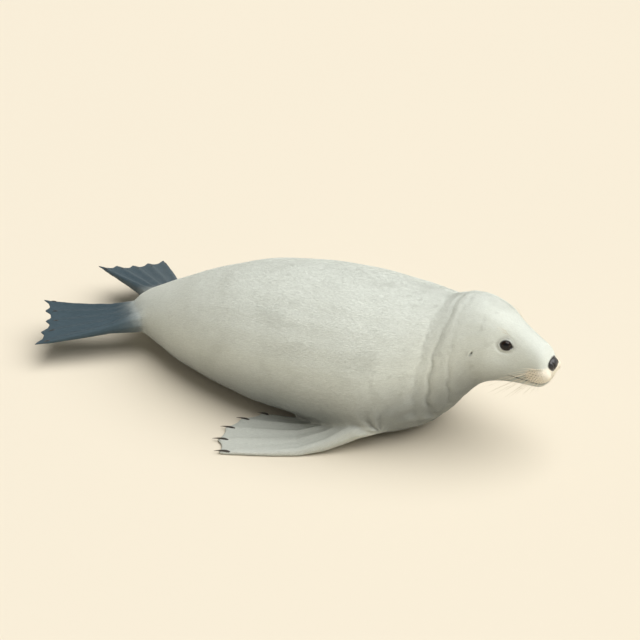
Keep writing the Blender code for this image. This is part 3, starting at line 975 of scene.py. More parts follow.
@dataclass
class Skin:
    """One skin over all the flesh, inside the solids by the coat's depth."""

    marks: Landmarks
    almond: Almond
    regions: Regions
    voxel: float = 0.0033
    swell: float = 0.0008
    trunk_depth: float = 0.0045
    head_depth: float = 0.0022
    flipper_depth: float = 0.0013
    trunk_rounds: float = 150.0
    head_rounds: float = 26.0
    flipper_rounds: float = 6.0
    face_from: float = 0.655
    ear_reach: float = 0.024
    most_triangles: int = 186_000
    lip_depth: float = 0.0038
    lip_width: float = 0.0017
    fold_depth: float = 0.0052
    socket_depth: float = 0.0028
    digit_height: float = 0.0017
    hind_blend: float = 5.0
    ear_lean: float = 24.0

    def build(self, finish: SkinFinish) -> Object:
        """Makes the skin.

        Args:
            finish: its material.

        Returns:
            The finished piece.
        """
        mesh = self.melted()
        surface = Surface(mesh)
        self.settle(surface)
        mesh = self.refined(mesh)
        surface = Surface(mesh)
        self.carve(surface)
        mesh = self.with_lids(self.thinned(surface))
        self.mark(Surface(mesh))
        self.lay_flat(mesh)
        return put("skin", mesh, finish.material(), "coat", *FLESH)

    def melted(self) -> Mesh:
        """Melts copies of the solids into one closed surface."""
        every = bmesh.new()
        for node in FLESH + LET_IN:
            bm = merged_solid(node)
            bm.normal_update()
            for vert in bm.verts:
                vert.co += vert.normal * self.swell
            mesh = as_mesh(node, bm)
            every.from_mesh(mesh)
            bpy.data.meshes.remove(mesh)
        return applied(as_mesh("flesh", every), "REMESH", mode="VOXEL", voxel_size=self.voxel, adaptivity=0.0)

    def settle(self, surface: Surface) -> None:
        """Smooths the facets away and sinks the surface by the coat's depth.

        Args:
            surface: the melted surface, which changes.
        """
        first = surface.points.copy()
        quads = [tuple(p.vertices) for p in surface.mesh.polygons]
        tree = BVHTree.FromPolygons([tuple(p) for p in first], quads)
        shares = [self.regions.share(region, first) for region in (Region.FORE, Region.HIND)]
        flipper = surface.relaxed(np.maximum(*shares), np.full(len(first), 4.0))
        head = ease(0.50, 0.62, first[:, 0])
        stem = ease(-0.66, -0.74, first[:, 0])
        rounds = self.trunk_rounds + (self.head_rounds - self.trunk_rounds) * np.maximum(head, stem)
        rounds += (self.flipper_rounds - rounds) * flipper
        surface.points = surface.relaxed(first, rounds)
        places, facing, away = nearest(tree, surface.points)
        inside = np.sign(dots(surface.points - places, facing)) * away
        depth = self.trunk_depth + (self.head_depth - self.trunk_depth) * ease(0.45, 0.66, first[:, 0])
        depth += (self.flipper_depth - depth) * flipper
        wanted = np.clip(-(depth + self.swell) - inside, -0.008, 0.012)
        wanted = surface.relaxed(wanted, rounds * 0.8)
        surface.points += surface.facing() * wanted[:, None]
        surface.points[:, 2] = np.maximum(surface.points[:, 2], FLOOR_GAP)
        surface.write()

    def refined(self, mesh: Mesh) -> Mesh:
        """Splits the faces of the face once more, for the lids and lips.

        Args:
            mesh: the mesh, which is used up.

        Returns:
            The finer mesh.
        """
        bm = bmesh.new()
        bm.from_mesh(mesh)
        fine = self.detailed(places_in(bm)) > 0.5
        bm.verts.index_update()
        faces = [f for f in bm.faces if all(fine[v.index] for v in f.verts)]
        edges = list({e for f in faces for e in f.edges})
        bmesh.ops.subdivide_edges(bm, edges=edges, cuts=1, use_grid_fill=True)
        bmesh.ops.triangulate(bm, faces=[f for f in bm.faces if len(f.verts) > 4])
        bpy.data.meshes.remove(mesh)
        made = outward_mesh("skin", bm)
        surface = Surface(made)
        surface.points = surface.relaxed(surface.points, 3.0 * self.detailed(surface.points))
        surface.write()
        return made

    def detailed(self, points: Array) -> Array:
        """Where the surface carries fine detail: the face, and round each ear.

        Args:
            points: the points.

        Returns:
            A share from 0 to 1 for each.
        """
        share = ease(self.face_from - 0.01, self.face_from, points[:, 0])
        for side in Side:
            away = np.linalg.norm(points - mirrored(self.marks.ear, side), axis=1)
            share = np.maximum(share, ease(self.ear_reach + 0.004, self.ear_reach, away))
        return share

    # ---- carving

    def carve(self, surface: Surface) -> None:
        """Carves lips, philtrum, ears, folds and webs into the surface.

        Args:
            surface: the surface, which changes.
        """
        points = surface.points
        facing = surface.facing()
        lift = self.lips(points) + self.philtrum(points) + self.ears(points) + self.brows(points)
        lift += self.neck_folds(points) + self.flesh_folds(points) + self.pads(points) + self.digits(points)
        surface.points = points + facing * lift[:, None]
        self.sockets(surface.points)
        surface.points[:, 2] = np.maximum(surface.points[:, 2], FLOOR_GAP)
        surface.write()

    def sockets(self, points: Array) -> None:
        """Sinks the surface under the eyes and their lids.

        Args:
            points: the surface's points, which change.
        """
        for side in Side:
            eye = np.array(self.marks.eyes[side])
            away = points - eye
            distance = np.linalg.norm(away, axis=1)
            sunk = np.minimum(distance, self.marks.eye_radius - self.socket_depth)
            share = ease(0.0094, 0.0074, self.almond.beyond(side, points))
            points[:] = eye + away * (1.0 + share * (sunk / distance - 1.0))[:, None]

    def brows(self, points: Array) -> Array:
        """The crease over each eye, deepest above and behind it, and the bag of skin below it.

        Args:
            points: the surface's points.

        Returns:
            How far each one is lifted.
        """
        lift = np.zeros(len(points))
        for side in Side:
            beyond = self.almond.beyond(side, points)
            front, up, _ = self.marks.eye_axes(side) @ (points - np.array(self.marks.eyes[side])).T
            turn = np.arctan2(up, front)
            over = hill(turn - 1.75, 1.05)
            under = hill(turn + 1.35, 0.75)
            roll = 0.0009 * hill(beyond - 0.0230, 0.0060)
            lift += over * (roll - 0.0015 * hill(beyond - 0.0145 - 0.0012 * (turn - 1.75), 0.0026))
            lift -= under * 0.0008 * hill(beyond - 0.0135, 0.0030)
        return lift

    def digits(self, points: Array) -> Array:
        """The ridge of each digit under the skin of the flippers, with its knuckles.

        Args:
            points: the surface's points.

        Returns:
            How far each one is lifted.
        """
        lift = np.zeros(len(points))
        for (kind, side), claws in self.marks.claws.items():
            root = np.array(self.marks.roots[kind, side])[:2]
            share = self.regions.share(Region(kind), points) * (np.sign(points[:, 1]) == side.value)
            near = np.flatnonzero(share > 0.2)
            ridge = np.zeros(len(near))
            for claw in claws:
                end = np.array(claw)[:2]
                start = root + 0.25 * (end - root)
                line = end - start
                away = points[near, :2] - start
                along = np.clip(away @ line / (line @ line), 0.0, 1.0)
                distance = np.linalg.norm(away - along[:, None] * line, axis=1)
                knuckle = 1.0 + 0.5 * sum(hill(along - place, width) for place, width in KNUCKLES)
                ridge = np.maximum(ridge, hill(distance, 0.0095) * ease(0.0, 0.35, along) * knuckle)
            lift[near] += share[near] * self.digit_height * (ridge - 0.35)
        return lift

    def mouth_height(self, x: Array) -> Array:
        """Height of the line of the mouth, which turns up a little at its corner.

        Args:
            x: places along the body.

        Returns:
            A height for each.
        """
        front, corner = self.marks.mouth_front, self.marks.mouth_corner
        t = (front.x - x) / (front.x - corner.x)
        line = front.z + (corner.z - front.z) * t
        return line + 0.006 * ease(0.75, 1.25, t) - 0.002 * hill(t - 0.45, 0.3)



    def lips(self, points: Array) -> Array:
        """The groove of the mouth between two soft lips.

        Args:
            points: the surface's points.

        Returns:
            How far each one is lifted.
        """
        away = points[:, 2] - self.mouth_height(points[:, 0])
        corner = self.marks.mouth_corner.x
        groove = -self.lip_depth * hill(away, self.lip_width)
        lower = 0.0012 * hill(away + 0.006, 0.0035)
        upper = 0.0010 * hill(away - 0.006, 0.0035)
        return ease(corner - 0.024, corner - 0.002, points[:, 0]) * (groove + lower + upper)

    def philtrum(self, points: Array) -> Array:
        """The groove that runs from between the nostrils down to the mouth.

        Args:
            points: the surface's points.

        Returns:
            How far each one is lifted.
        """
        x, y, z = points.T
        low, high = self.marks.mouth_front.z, self.marks.nose.z
        between = ease(low - 0.004, low + 0.004, z) * ease(high, high - 0.01, z)
        return -0.0030 * hill(y, 0.0024) * between * ease(0.80, 0.815, x)

    def ears(self, points: Array) -> Array:
        """The small slit of each ear, with a low rim behind it.

        Args:
            points: the surface's points.

        Returns:
            How far each one is lifted.
        """
        lift = np.zeros(len(points))
        for side in Side:
            along, across = self.ear_slit(side, points)
            reach = np.hypot(across / 0.0032, along / 0.0070)
            rim = hill(np.hypot((across + 0.0062) / 0.0036, along / 0.0090), 1.0)
            front = hill(np.hypot((across - 0.0068) / 0.0045, along / 0.0090), 1.0)
            lift += 0.0019 * rim + 0.0008 * front - 0.0065 * hill(reach, 1.0)
        return lift

    def ear_slit(self, side: Side, points: Array) -> tuple[Array, Array]:
        """Places along and across the slit of an ear, large far from it.

        Args:
            side: the ear's side.
            points: the points.

        Returns:
            Two distances for each.
        """
        away = points - mirrored(self.marks.ear, side)
        lean = math.radians(self.ear_lean)
        along = away[:, 2] * math.cos(lean) + away[:, 0] * math.sin(lean)
        across = away[:, 0] * math.cos(lean) - away[:, 2] * math.sin(lean)
        far = np.where(np.abs(away[:, 1]) < 0.04, 0.0, 1.0)
        return along + far, across + far

    def pads(self, points: Array) -> Array:
        """Low mounds in rows where the whiskers root.

        Args:
            points: the surface's points.

        Returns:
            How far each one is lifted.
        """
        lift = np.zeros(len(points))
        for side in Side:
            for root in whisker_roots(self.marks, side):
                away = np.linalg.norm(points - root.place, axis=1)
                lift += 0.0011 * hill(away, 0.0028)
        return lift

    def neck_folds(self, points: Array) -> Array:
        """Soft rings of loose skin round the neck and under the throat.

        Args:
            points: the surface's points.

        Returns:
            How far each one is lifted.
        """
        x, y, z = points.T
        side = np.abs(y)
        turn = np.arctan2(z - axis_height(x), side)
        low = ease(0.9, -0.9, turn)
        lift = np.zeros(len(points))
        for place, lean, width, depth in NECK_FOLDS:
            wave = 0.004 * np.sin(side * 55.0 + place * 90.0) + 0.003 * np.sin(z * 80.0 + place * 40.0)
            line = place - lean * (0.40 - z) * 0.5 + wave
            crease = hill(x - line, width * 0.6)
            roll = hill(x - line - width * 1.5, width) + hill(x - line + width * 1.5, width)
            lift += self.fold_depth * depth * (0.35 + 0.65 * low) * (0.35 * roll - crease)
        return lift * ease(0.60, 0.56, x) * ease(0.40, 0.44, x)

    def flesh_folds(self, points: Array) -> Array:
        """Creases where the fore flippers and the hind flippers leave the body, and soft fat.

        Args:
            points: the surface's points.

        Returns:
            How far each one is lifted.
        """
        x, y, z = points.T
        lift = 0.0016 * np.sin(x * 24.0 + 1.3) * np.sin(np.arctan2(z - 0.2, np.abs(y)) * 3.0 + x * 6.0)
        lift *= ease(0.45, 0.30, x) * ease(-0.7, -0.5, x)
        for side in Side:
            root = self.marks.roots["fore", side]
            away = np.sqrt((x - root.x + 0.02) ** 2 + (y - root.y) ** 2 + (z - root.z) ** 2)
            ring = hill(away - 0.10, 0.045) * (np.sign(y) == side.value)
            turn = np.arctan2(z - root.z, x - root.x + 0.02)
            lift += 0.0022 * ring * np.sin(turn * 9.0 + away * 40.0)
        return lift * ease(0.01, 0.05, z)

    # ---- finishing

    def thinned(self, surface: Surface) -> Mesh:
        """Spends the triangles on the face and the creases.

        Args:
            surface: the carved surface.

        Returns:
            A mesh of triangles, under the most that a piece may have.
        """
        surface.write()
        near = ease(self.face_from - 0.09, self.face_from - 0.01, surface.points[:, 0])
        free = np.round(1.0 - np.maximum(near, self.detailed(surface.points)), 1)
        surface.mesh.calc_loop_triangles()
        ratio = self.most_triangles / len(surface.mesh.loop_triangles)
        settings = {"decimate_type": "COLLAPSE", "ratio": ratio, "use_collapse_triangulate": True}
        return applied(surface.mesh, "DECIMATE", {"free": free}, vertex_group="free", **settings)

    def with_lids(self, mesh: Mesh) -> Mesh:
        """Adds the lids of both eyes.

        Args:
            mesh: the thinned skin, which is used up.

        Returns:
            The skin and its lids, with lid stored.
        """
        attribute(mesh, "lid", np.zeros(len(mesh.vertices)))
        bm = bmesh.new()
        bm.from_mesh(mesh)
        tree = BVHTree.FromBMesh(bm)
        for side in Side:
            lids = Lids(self.almond, side).mesh(tree)
            bm.from_mesh(lids)
            bpy.data.meshes.remove(lids)
        bpy.data.meshes.remove(mesh)
        return as_mesh("skin", bm)

    def mark(self, surface: Surface) -> None:
        """Stores the shares that the colours are mixed by.

        Args:
            surface: the finished surface.
        """
        points = surface.points
        rounds = np.full(len(points), 3.0)
        mesh = surface.mesh
        fore = surface.relaxed(self.regions.share(Region.FORE, points), rounds)
        hind = surface.relaxed(self.regions.share(Region.HIND, points), rounds * self.hind_blend)
        x, _, z = points.T
        mottle = ease(0.80, 0.62, x) * (0.45 + 0.55 * ease(0.20, 0.50, x))
        lid = stored(mesh, "lid") > 0.5
        shares = {
            "fore": fore,
            "hind": hind,
            # painted shade: this share of the darker colour grows towards the bottom of the body
            "underside": ease(0.045, -0.145, z - axis_height(x)),
            "mottle": mottle * (1 - fore) * (1 - hind),
            "pad": self.on_pads(points),
            "bare": np.where(lid, self.lid_bareness(points), self.bareness(points)),
            "damp": self.dampness(points),
        }
        for name, values in shares.items():
            attribute(mesh, name, values)

    def on_pads(self, points: Array) -> Array:
        """The cream whisker pads, the upper lip and the tip of the chin.

        Args:
            points: the points.

        Returns:
            A share from 0 to 1 for each.
        """
        share = np.zeros(len(points))
        for side in Side:
            away = (points - np.array(self.marks.pads[side])) / (np.array(self.marks.pad_radii) * 1.02)
            share = np.maximum(share, ease(1.16, 0.93, np.linalg.norm(away, axis=1)))
        chin = points - np.array(self.marks.mouth_front) + (0.022, 0.0, 0.012)
        share = np.maximum(share, 0.8 * ease(0.040, 0.012, np.linalg.norm(chin, axis=1)))
        lip = (points - np.array(self.marks.mouth_front) + (0.010, 0.0, -0.020)) / (0.024, 0.030, 0.032)
        return np.maximum(share, 0.9 * ease(1.15, 0.80, np.linalg.norm(lip, axis=1)))

    def lid_bareness(self, points: Array) -> Array:
        """The wet rims of the lids."""
        left, right = (Lids(self.almond, side).bareness(points) for side in Side)
        return np.where(points[:, 1] > 0, left, right)

    def bareness(self, points: Array) -> Array:
        """Bare dark skin along the line of the lips and under the nose, with painted shade in the slits of the ears and
        the sunk sockets.

        Args:
            points: the points.

        Returns:
            A share from 0 to 1 for each.
        """
        away = points[:, 2] - self.mouth_height(points[:, 0])
        corner = self.marks.mouth_corner.x
        share = 0.9 * hill(away, 0.0021) * ease(corner - 0.016, corner + 0.004, points[:, 0])
        for side in Side:
            along, across = self.ear_slit(side, points)
            # painted shade in the ear slits and in the sockets sunk under the lids
            share = np.maximum(share, 0.95 * hill(np.hypot(across / 0.0027, along / 0.0062), 1.0))
            share = np.maximum(share, ease(0.0092, 0.0080, self.almond.beyond(side, points)))
        nose = (points - np.array(self.marks.nose)) / (np.array(self.marks.nose_radii) + 0.001)
        return np.maximum(share, ease(1.18, 1.04, np.linalg.norm(nose, axis=1)))

    def dampness(self, points: Array) -> Array:
        """The darker, tear-wet fur round the eyes and down from their front corners.

        Args:
            points: the points.

        Returns:
            A share from 0 to 1 for each.
        """
        share = np.zeros(len(points))
        for side in Side:
            eye = np.array(self.marks.eyes[side])
            corner = eye + self.marks.eye_axes(side)[0] * self.marks.eye_radius
            tears = hill(np.linalg.norm((points - corner + (0.0, 0.0, 0.010)) / (1.0, 1.0, 1.7), axis=1), 0.011)
            ring = ease(0.018, 0.006, self.almond.beyond(side, points))
            share = np.maximum(share, np.maximum(ring, 0.8 * tears))
        return share

    def lay_flat(self, mesh: Mesh) -> None:
        """Gives the skin its two maps: an unwrap of its shape, and the lie of the coat.

        Args:
            mesh: the skin, which changes.
        """
        flat = Unwrap(self.marks)
        corners = read(mesh.loops, "vertex_index", 1, np.int32).reshape(-1, 3)
        points = points_of(mesh)[corners]
        shares = {name: stored(mesh, name)[corners].mean(axis=1) for name in KINDS}
        uv_map(mesh, "OFBake", flat.sheet(points, shares).reshape(-1, 2))
        uv_map(mesh, "Lie", flat.lie(points, shares).reshape(-1, 2))


@dataclass
class Unwrap:
    """Lays the skin out flat: the trunk as a sheet, the head as a disc, the flippers from both sides."""

    marks: Landmarks
    per_metre: float = 0.405
    trunk_end: float = -0.80
    trunk_line: float = 0.335
    girth_radius: float = 0.215 * 1.13
    head_gain: float = 1.35
    head_from: float = 0.53
    head_heart: tuple[float, float] = (0.795, 0.20)
    margin: float = 0.01
    fan_gain: float = 0.92
    fans_at: tuple = (("fore", 0.25, 0.68, -0.28, 0.14), ("hind", 0.18, 0.85, -1.08, 0.04))
    flipper_breadth: float = 0.3

    def round_axis(self, points: Array) -> tuple[Array, Array]:
        """The turn and the distance of each corner round the body's middle line.

        Args:
            points: the corners of each triangle.

        Returns:
            Angles from the back, unbroken within a triangle, and distances.
        """
        height = points[..., 2] - axis_height(points[..., 0])
        middle = points.mean(axis=1)
        heart = np.arctan2(middle[:, 1], middle[:, 2] - axis_height(middle[:, 0]))
        turn = np.arctan2(points[..., 1], height)
        turn = heart[:, None] + (turn - heart[:, None] + math.pi) % (2 * math.pi) - math.pi
        return turn, np.hypot(points[..., 1], height)

    def sheet(self, points: Array, shares: dict[str, Array]) -> Array:
        """Places every corner on the unwrap.

        Args:
            points: the corners of each triangle.
            shares: each triangle's share of the flippers.

        Returns:
            A place from 0 to 1 for each corner.
        """
        turn, _ = self.round_axis(points)
        along = self.margin + (points[..., 0] - self.trunk_end) * self.per_metre
        round_it = self.trunk_line + turn * self.girth_radius * self.per_metre
        places = np.stack([along, round_it], axis=-1)
        self.disc(places, points, turn)
        self.fans(places, points, shares)
        return places

    def disc(self, places: Array, points: Array, turn: Array) -> None:
        """Lays the head out as a disc round the nose.

        Args:
            places: the corners' places on the unwrap, which change.
            points: the corners of each triangle.
            turn: their turns round the body's middle line.
        """
        tip = np.array(self.marks.nose) + (self.marks.nose_radii.x, 0, 0)
        head = points.mean(axis=1)[:, 0] > self.head_from
        reach = np.linalg.norm(points[head] - tip, axis=2) * self.per_metre * self.head_gain
        places[head, :, 0] = self.head_heart[0] + reach * np.sin(turn[head])
        places[head, :, 1] = self.head_heart[1] + reach * np.cos(turn[head])

    def fans(self, places: Array, points: Array, shares: dict[str, Array]) -> None:
        """Lays each flipper out from above and from below.

        Args:
            places: the corners' places on the unwrap, which change.
            points: the corners of each triangle.
            shares: each triangle's share of the flippers.
        """
        up = np.cross(points[:, 1] - points[:, 0], points[:, 2] - points[:, 0])[:, 2] > 0
        left = points.mean(axis=1)[:, 1] > 0
        scale = self.per_metre * self.fan_gain
        for kind, step, row, back, inner in self.fans_at:
            for k in range(4):  # the left one from above and from below, then the right one
                here = (shares[kind] > 0.5) & (left == (k < 2)) & (up == (k % 2 == 0))
                places[here, :, 0] = self.margin + k * step + (points[here][..., 0] - back) * scale
                places[here, :, 1] = row + (np.abs(points[here][..., 1]) - inner) * scale

    def lie(self, points: Array, shares: dict[str, Array]) -> Array:
        """The distance along and across the lie of the coat, in metres.

        Args:
            points: the corners of each triangle.
            shares: each triangle's share of the flippers.

        Returns:
            Two distances for each corner.
        """
        turn, distance = self.round_axis(points)
        girth = distance.mean(axis=1)[:, None].round(2)
        places = np.stack([-points[..., 0], turn * girth], axis=-1)
        for (kind, side), root in self.marks.roots.items():
            own = (shares[kind] > 0.5) & (np.sign(points.mean(axis=1)[:, 1]) == side.value)
            away = points[own] - np.array(root)
            places[own, :, 0] = np.hypot(away[..., 0], away[..., 1])
            places[own, :, 1] = np.arctan2(away[..., 1], -away[..., 0]) * self.flipper_breadth
        return places


# ---------------------------------------------------------------- the coat


def lie_of_coat(marks: Landmarks, points: Array, shares: dict[str, Array]) -> Array:
    """The way the hairs point, before they are laid on the surface.

    Args:
        marks: the body's places.
        points: the roots.
        shares: each root's share of the flippers.

    Returns:
        A direction for each root.
    """
    back = np.tile((-1.0, 0.0, -0.16), (len(points), 1))
    heart = np.array(marks.nose) - (0.045, 0.0, 0.0)
    front = ease(0.60, 0.78, points[:, 0])[:, None]
    way = unit(back * (1 - front) + unit(points - heart) * front)
    for (kind, side), root in marks.roots.items():
        here = (np.sign(points[:, 1]) == side.value)[:, None] * shares[kind][:, None]
        way = unit(way * (1 - here) + unit(points - np.array(root)) * here)
    return way


@dataclass(frozen=True)
class Patch:
    """One piece of the coat: a stretch of the body on one side or both."""

    name: str
    start: float = 0.0
    end: float = 0.0
    side: "Side | None" = None
    region: Region = Region.TRUNK
    slot: str = "coat"

    def holds(self, points: Array, shares: dict[str, Array]) -> Array:
        """Tells which roots belong to this piece.

        Args:
            points: the roots.
            shares: each root's share of the flippers.

        Returns:
            True or False for each root.
        """
        kind = np.where(shares["fore"] > 0.5, 1, np.where(shares["hind"] > 0.5, 2, 0))
        own = kind == list(Region).index(self.region)
        if self.region is Region.TRUNK:
            own &= (points[:, 0] >= self.start) & (points[:, 0] < self.end)
        if self.side is not None:
            own &= (points[:, 1] > 0) == (self.side is Side.LEFT)
        return own


FAR = 9.0
STARTS = {"loin": -0.46, "flank": -0.20, "shoulder": 0.06, "neck": 0.32, "cheek": 0.56, "muzzle": 0.70}
SHARES = ("fore", "hind", "underside", "mottle", "pad", "bare", "damp")


def patches() -> list[Patch]:
    """Every piece of the coat: the rump, the stretches from loin to muzzle, then the flippers."""
    found = [Patch("coat_rump", -FAR, STARTS["loin"])]
    for name, end in zip(STARTS, [*STARTS.values()][1:] + [FAR]):
        found += [Patch(f"coat_{name}_{side.word}", STARTS[name], end, side) for side in Side]
    for kind in KINDS:
        flipper = {"region": Region(kind), "slot": f"{kind}_flipper_coat"}
        found += [Patch(f"coat_{kind}_flipper_{side.word}", side=side, **flipper) for side in Side]
    return found


@dataclass
class Roots:
    """Where tufts grow: everything about the skin under each of them."""

    points: Array
    facing: Array
    sheet: Array
    shares: dict[str, Array]

    def only(self, chosen: Array) -> "Roots":
        """The roots picked out by a mask or by their numbers."""
        shares = {name: values[chosen] for name, values in self.shares.items()}
        return Roots(self.points[chosen], self.facing[chosen], self.sheet[chosen], shares)


@dataclass
class Coat:
    """Short tufts that lie flat along the body, finest on the face and the flippers."""

    marks: Landmarks
    almond: Almond
    tree: BVHTree
    trunk_length: float = 0.0185
    neck_length: float = 0.0155
    head_length: float = 0.0105
    face_length: float = 0.0065
    flipper_length: float = 0.0105
    lash_length: float = 0.0042
    cover: float = 2.5
    slimness: float = 9.5
    stray: float = 0.11
    rise: tuple[float, float] = (0.02, 0.055)
    ridge: float = 0.18
    roundness: float = 0.45
    patch_size: float = 0.003
    most_bare: float = 0.3
    most_tufts: int = 33_000
    on_flippers: float = 0.80
    quick_share: float = 0.35
    curve_cell: float = 0.004
    seed: int = 61
    random: np.random.Generator = field(init=False)

    def build(self, skin: Object, finish: CoatFinish) -> None:
        """Grows every piece of the coat.

        Args:
            skin: the finished skin.
            finish: the coat's material.
        """
        material = finish.material()
        self.random = np.random.default_rng(self.seed)
        roots = self.scattered(skin.data)
        for patch in patches():
            own = patch.holds(roots.points, roots.shares)
            chosen = np.flatnonzero(own & (roots.shares["bare"] < self.most_bare))
            if len(chosen) > self.most_tufts:
                LOG.info("%s is thinned from %d tufts", patch.name, len(chosen))
                chosen = np.sort(self.random.permutation(chosen)[: self.most_tufts])
            mesh = self.tufts(patch.name, roots.only(chosen))
            put(patch.name, mesh, material, patch.slot)

    def lengths(self, points: Array, shares: dict[str, Array]) -> Array:
        """Length of the tufts over the body.

        Args:
            points: the roots.
            shares: each root's share of the flippers.

        Returns:
            A length for each.
        """
        x = points[:, 0]
        places = (0.30, 0.46, 0.56, 0.66, 0.78, 0.815, 0.84)
        sizes = (self.trunk_length, self.neck_length, self.head_length * 1.25, self.head_length)
        sizes += (self.face_length, self.face_length * 0.8, self.face_length * 0.6)
        length = np.interp(x, places, sizes)
        length *= 1.0 - 0.35 * ease(-0.55, -0.75, x)
        for side in Side:
            beyond = self.almond.beyond(side, points)
            length = np.minimum(length, self.lash_length + 0.24 * np.maximum(beyond - 0.005, 0.0))
        flipper = np.maximum(shares["fore"], shares["hind"])
        return length + (self.flipper_length - length) * flipper

    def scattered(self, mesh: Mesh) -> Roots:
        """Scatters roots evenly over the skin, closer where the tufts are finer.

        Args:
            mesh: the skin's mesh.

        Returns:
            The roots.
        """
        corners = read(mesh.loops, "vertex_index", 1, np.int32).reshape(-1, 3)
        points = points_of(mesh)
        facing = read(mesh.vertex_normals, "vector", 3).astype(float)
        shares = {name: stored(mesh, name).astype(float) for name in SHARES}
        sheet = read(mesh.uv_layers["OFBake"].uv, "vector", 2).reshape(-1, 3, 2)
        a, b, c = (points[corners[:, k]] for k in range(3))
        area = np.linalg.norm(np.cross(b - a, c - a), axis=1) / 2
        middle = (a + b + c) / 3
        means = {name: values[corners].mean(axis=1) for name, values in shares.items()}
        length = self.lengths(middle, means)
        wanted = area * self.cover / (length * length / self.slimness)
        wanted *= 1.0 - self.on_flippers * np.maximum(means["fore"], means["hind"])
        order = np.argsort(self.curve_order(middle))
        total = np.cumsum(wanted[order])
        count = int(total[-1])
        steps = (np.arange(count) + self.random.random(count)) * total[-1] / count
        face = order[np.minimum(np.searchsorted(total, steps), len(order) - 1)]
        u, v = self.random.random((2, count))
        over = u + v > 1
        u[over], v[over] = 1 - u[over], 1 - v[over]
        weights = np.stack([1 - u - v, u, v], axis=1)

        def spread(values: Array) -> Array:
            """Reads values at the roots."""
            return np.einsum("ij,ij...->i...", weights, values[corners[face]])

        found = {name: spread(values) for name, values in shares.items()}
        places = np.einsum("ij,ijk->ik", weights, sheet[face])
        return Roots(spread(points), unit(spread(facing)), places, found)

    def curve_order(self, points: Array) -> Array:
        """A number that keeps near places near each other in order.

        Args:
            points: the places.

        Returns:
            A number for each.
        """
        cells = ((points - points.min(axis=0)) / self.curve_cell).astype(np.int64)
        code = np.zeros(len(points), np.int64)
        for bit in range(10):
            for k in range(3):
                code |= ((cells[:, k] >> bit) & 1) << (3 * bit + k)
        return code

    def tufts(self, name: str, roots: Roots) -> Mesh:
        """Builds the tufts of one piece as thin closed blades.

        Args:
            name: the piece's name.
            roots: where they grow.

        Returns:
            Their mesh, with tone, along and the skin's shares stored.
        """
        count = len(roots.points)
        base, facing = roots.points, roots.facing
        size = self.lengths(base, roots.shares)
        length = size * self.random.uniform(0.75, 1.2, count)
        way = lie_of_coat(self.marks, base, roots.shares)
        way += self.random.normal(0.0, self.stray, (count, 3))
        way = unit(way - facing * dots(way, facing)[:, None])
        ahead = nearest(self.tree, base + way * length[:, None])[1]
        length *= np.interp(dots(ahead, facing), (0.55, 0.92), (0.4, 1.0))
        width = length / self.slimness * self.random.uniform(0.8, 1.25, count)
        rise = length * self.random.uniform(self.rise[0], self.rise[1], count)
        middle, up, _ = nearest(self.tree, base + way * (length * 0.38)[:, None])
        tip, above, _ = nearest(self.tree, base + way * length[:, None])
        side = unit(np.cross(up, tip - base))
        middle += up * (rise * 0.45)[:, None]
        reach = side * (width / 2)[:, None]
        ridge = middle + up * (width * self.ridge)[:, None]
        heel = base - facing * (0.03 * size)[:, None]
        points = np.stack([heel, middle - reach, middle + reach, ridge, tip + above * rise[:, None]], axis=1)
        points[..., 2] = np.maximum(points[..., 2], 0.0003)
        faces = np.array([(0, 1, 3), (1, 4, 3), (4, 2, 3), (2, 0, 3), (0, 4, 1), (0, 2, 4)])
        mesh = mesh_of_copies(name, points, faces)
        flat = np.array([(0.5, 0.0), (0.0, 0.38), (1.0, 0.38), (0.5, 0.45), (0.5, 1.0)]) - 0.5
        places = roots.sheet[:, None] + flat[None] * self.patch_size
        uv_map(mesh, "OFBake", places[:, faces].reshape(-1, 2))
        scale = np.stack([width, length], axis=1)[:, None]
        strands = flat[None] * scale + self.random.random((count, 1, 2))
        uv_map(mesh, "Lie", strands[:, faces][..., ::-1].reshape(-1, 2))
        for share in SHARES:
            attribute(mesh, share, np.repeat(roots.shares[share], 5))
        attribute(mesh, "tone", np.repeat(self.random.uniform(-1, 1, count), 5))
        attribute(mesh, "along", np.tile((0, 0.38, 0.38, 0.45, 1.0), count))
        smooth_shading(mesh)
        leans = np.stack([facing, up - side * self.roundness, up + side * self.roundness, up, above], axis=1)
        corners = unit(leans)[:, faces]
        corners[:, 4:] = -up[:, None, None]
        mesh.normals_split_custom_set(corners.reshape(-1, 3).astype(np.float32))
        return mesh


def mesh_of_copies(name: str, points: Array, faces: Array) -> Mesh:
    """Joins many like small shapes in one mesh.

    Args:
        name: the mesh's name.
        points: for each copy, its points.
        faces: one shape's triangles.

    Returns:
        The mesh.
    """
    copies, each = points.shape[:2]
    every = (faces[None] + (np.arange(copies) * each)[:, None, None]).reshape(-1, 3)
    mesh = bpy.data.meshes.new(name)
    mesh.vertices.add(copies * each)
    mesh.vertices.foreach_set("co", points.astype(np.float32).ravel())
    mesh.loops.add(len(every) * 3)
    mesh.loops.foreach_set("vertex_index", every.astype(np.int32).ravel())
    mesh.polygons.add(len(every))
    mesh.polygons.foreach_set("loop_start", np.arange(0, len(every) * 3, 3, dtype=np.int32))
    mesh.update(calc_edges=True)
    mesh.validate()
    return mesh


# ---------------------------------------------------------------- eyes


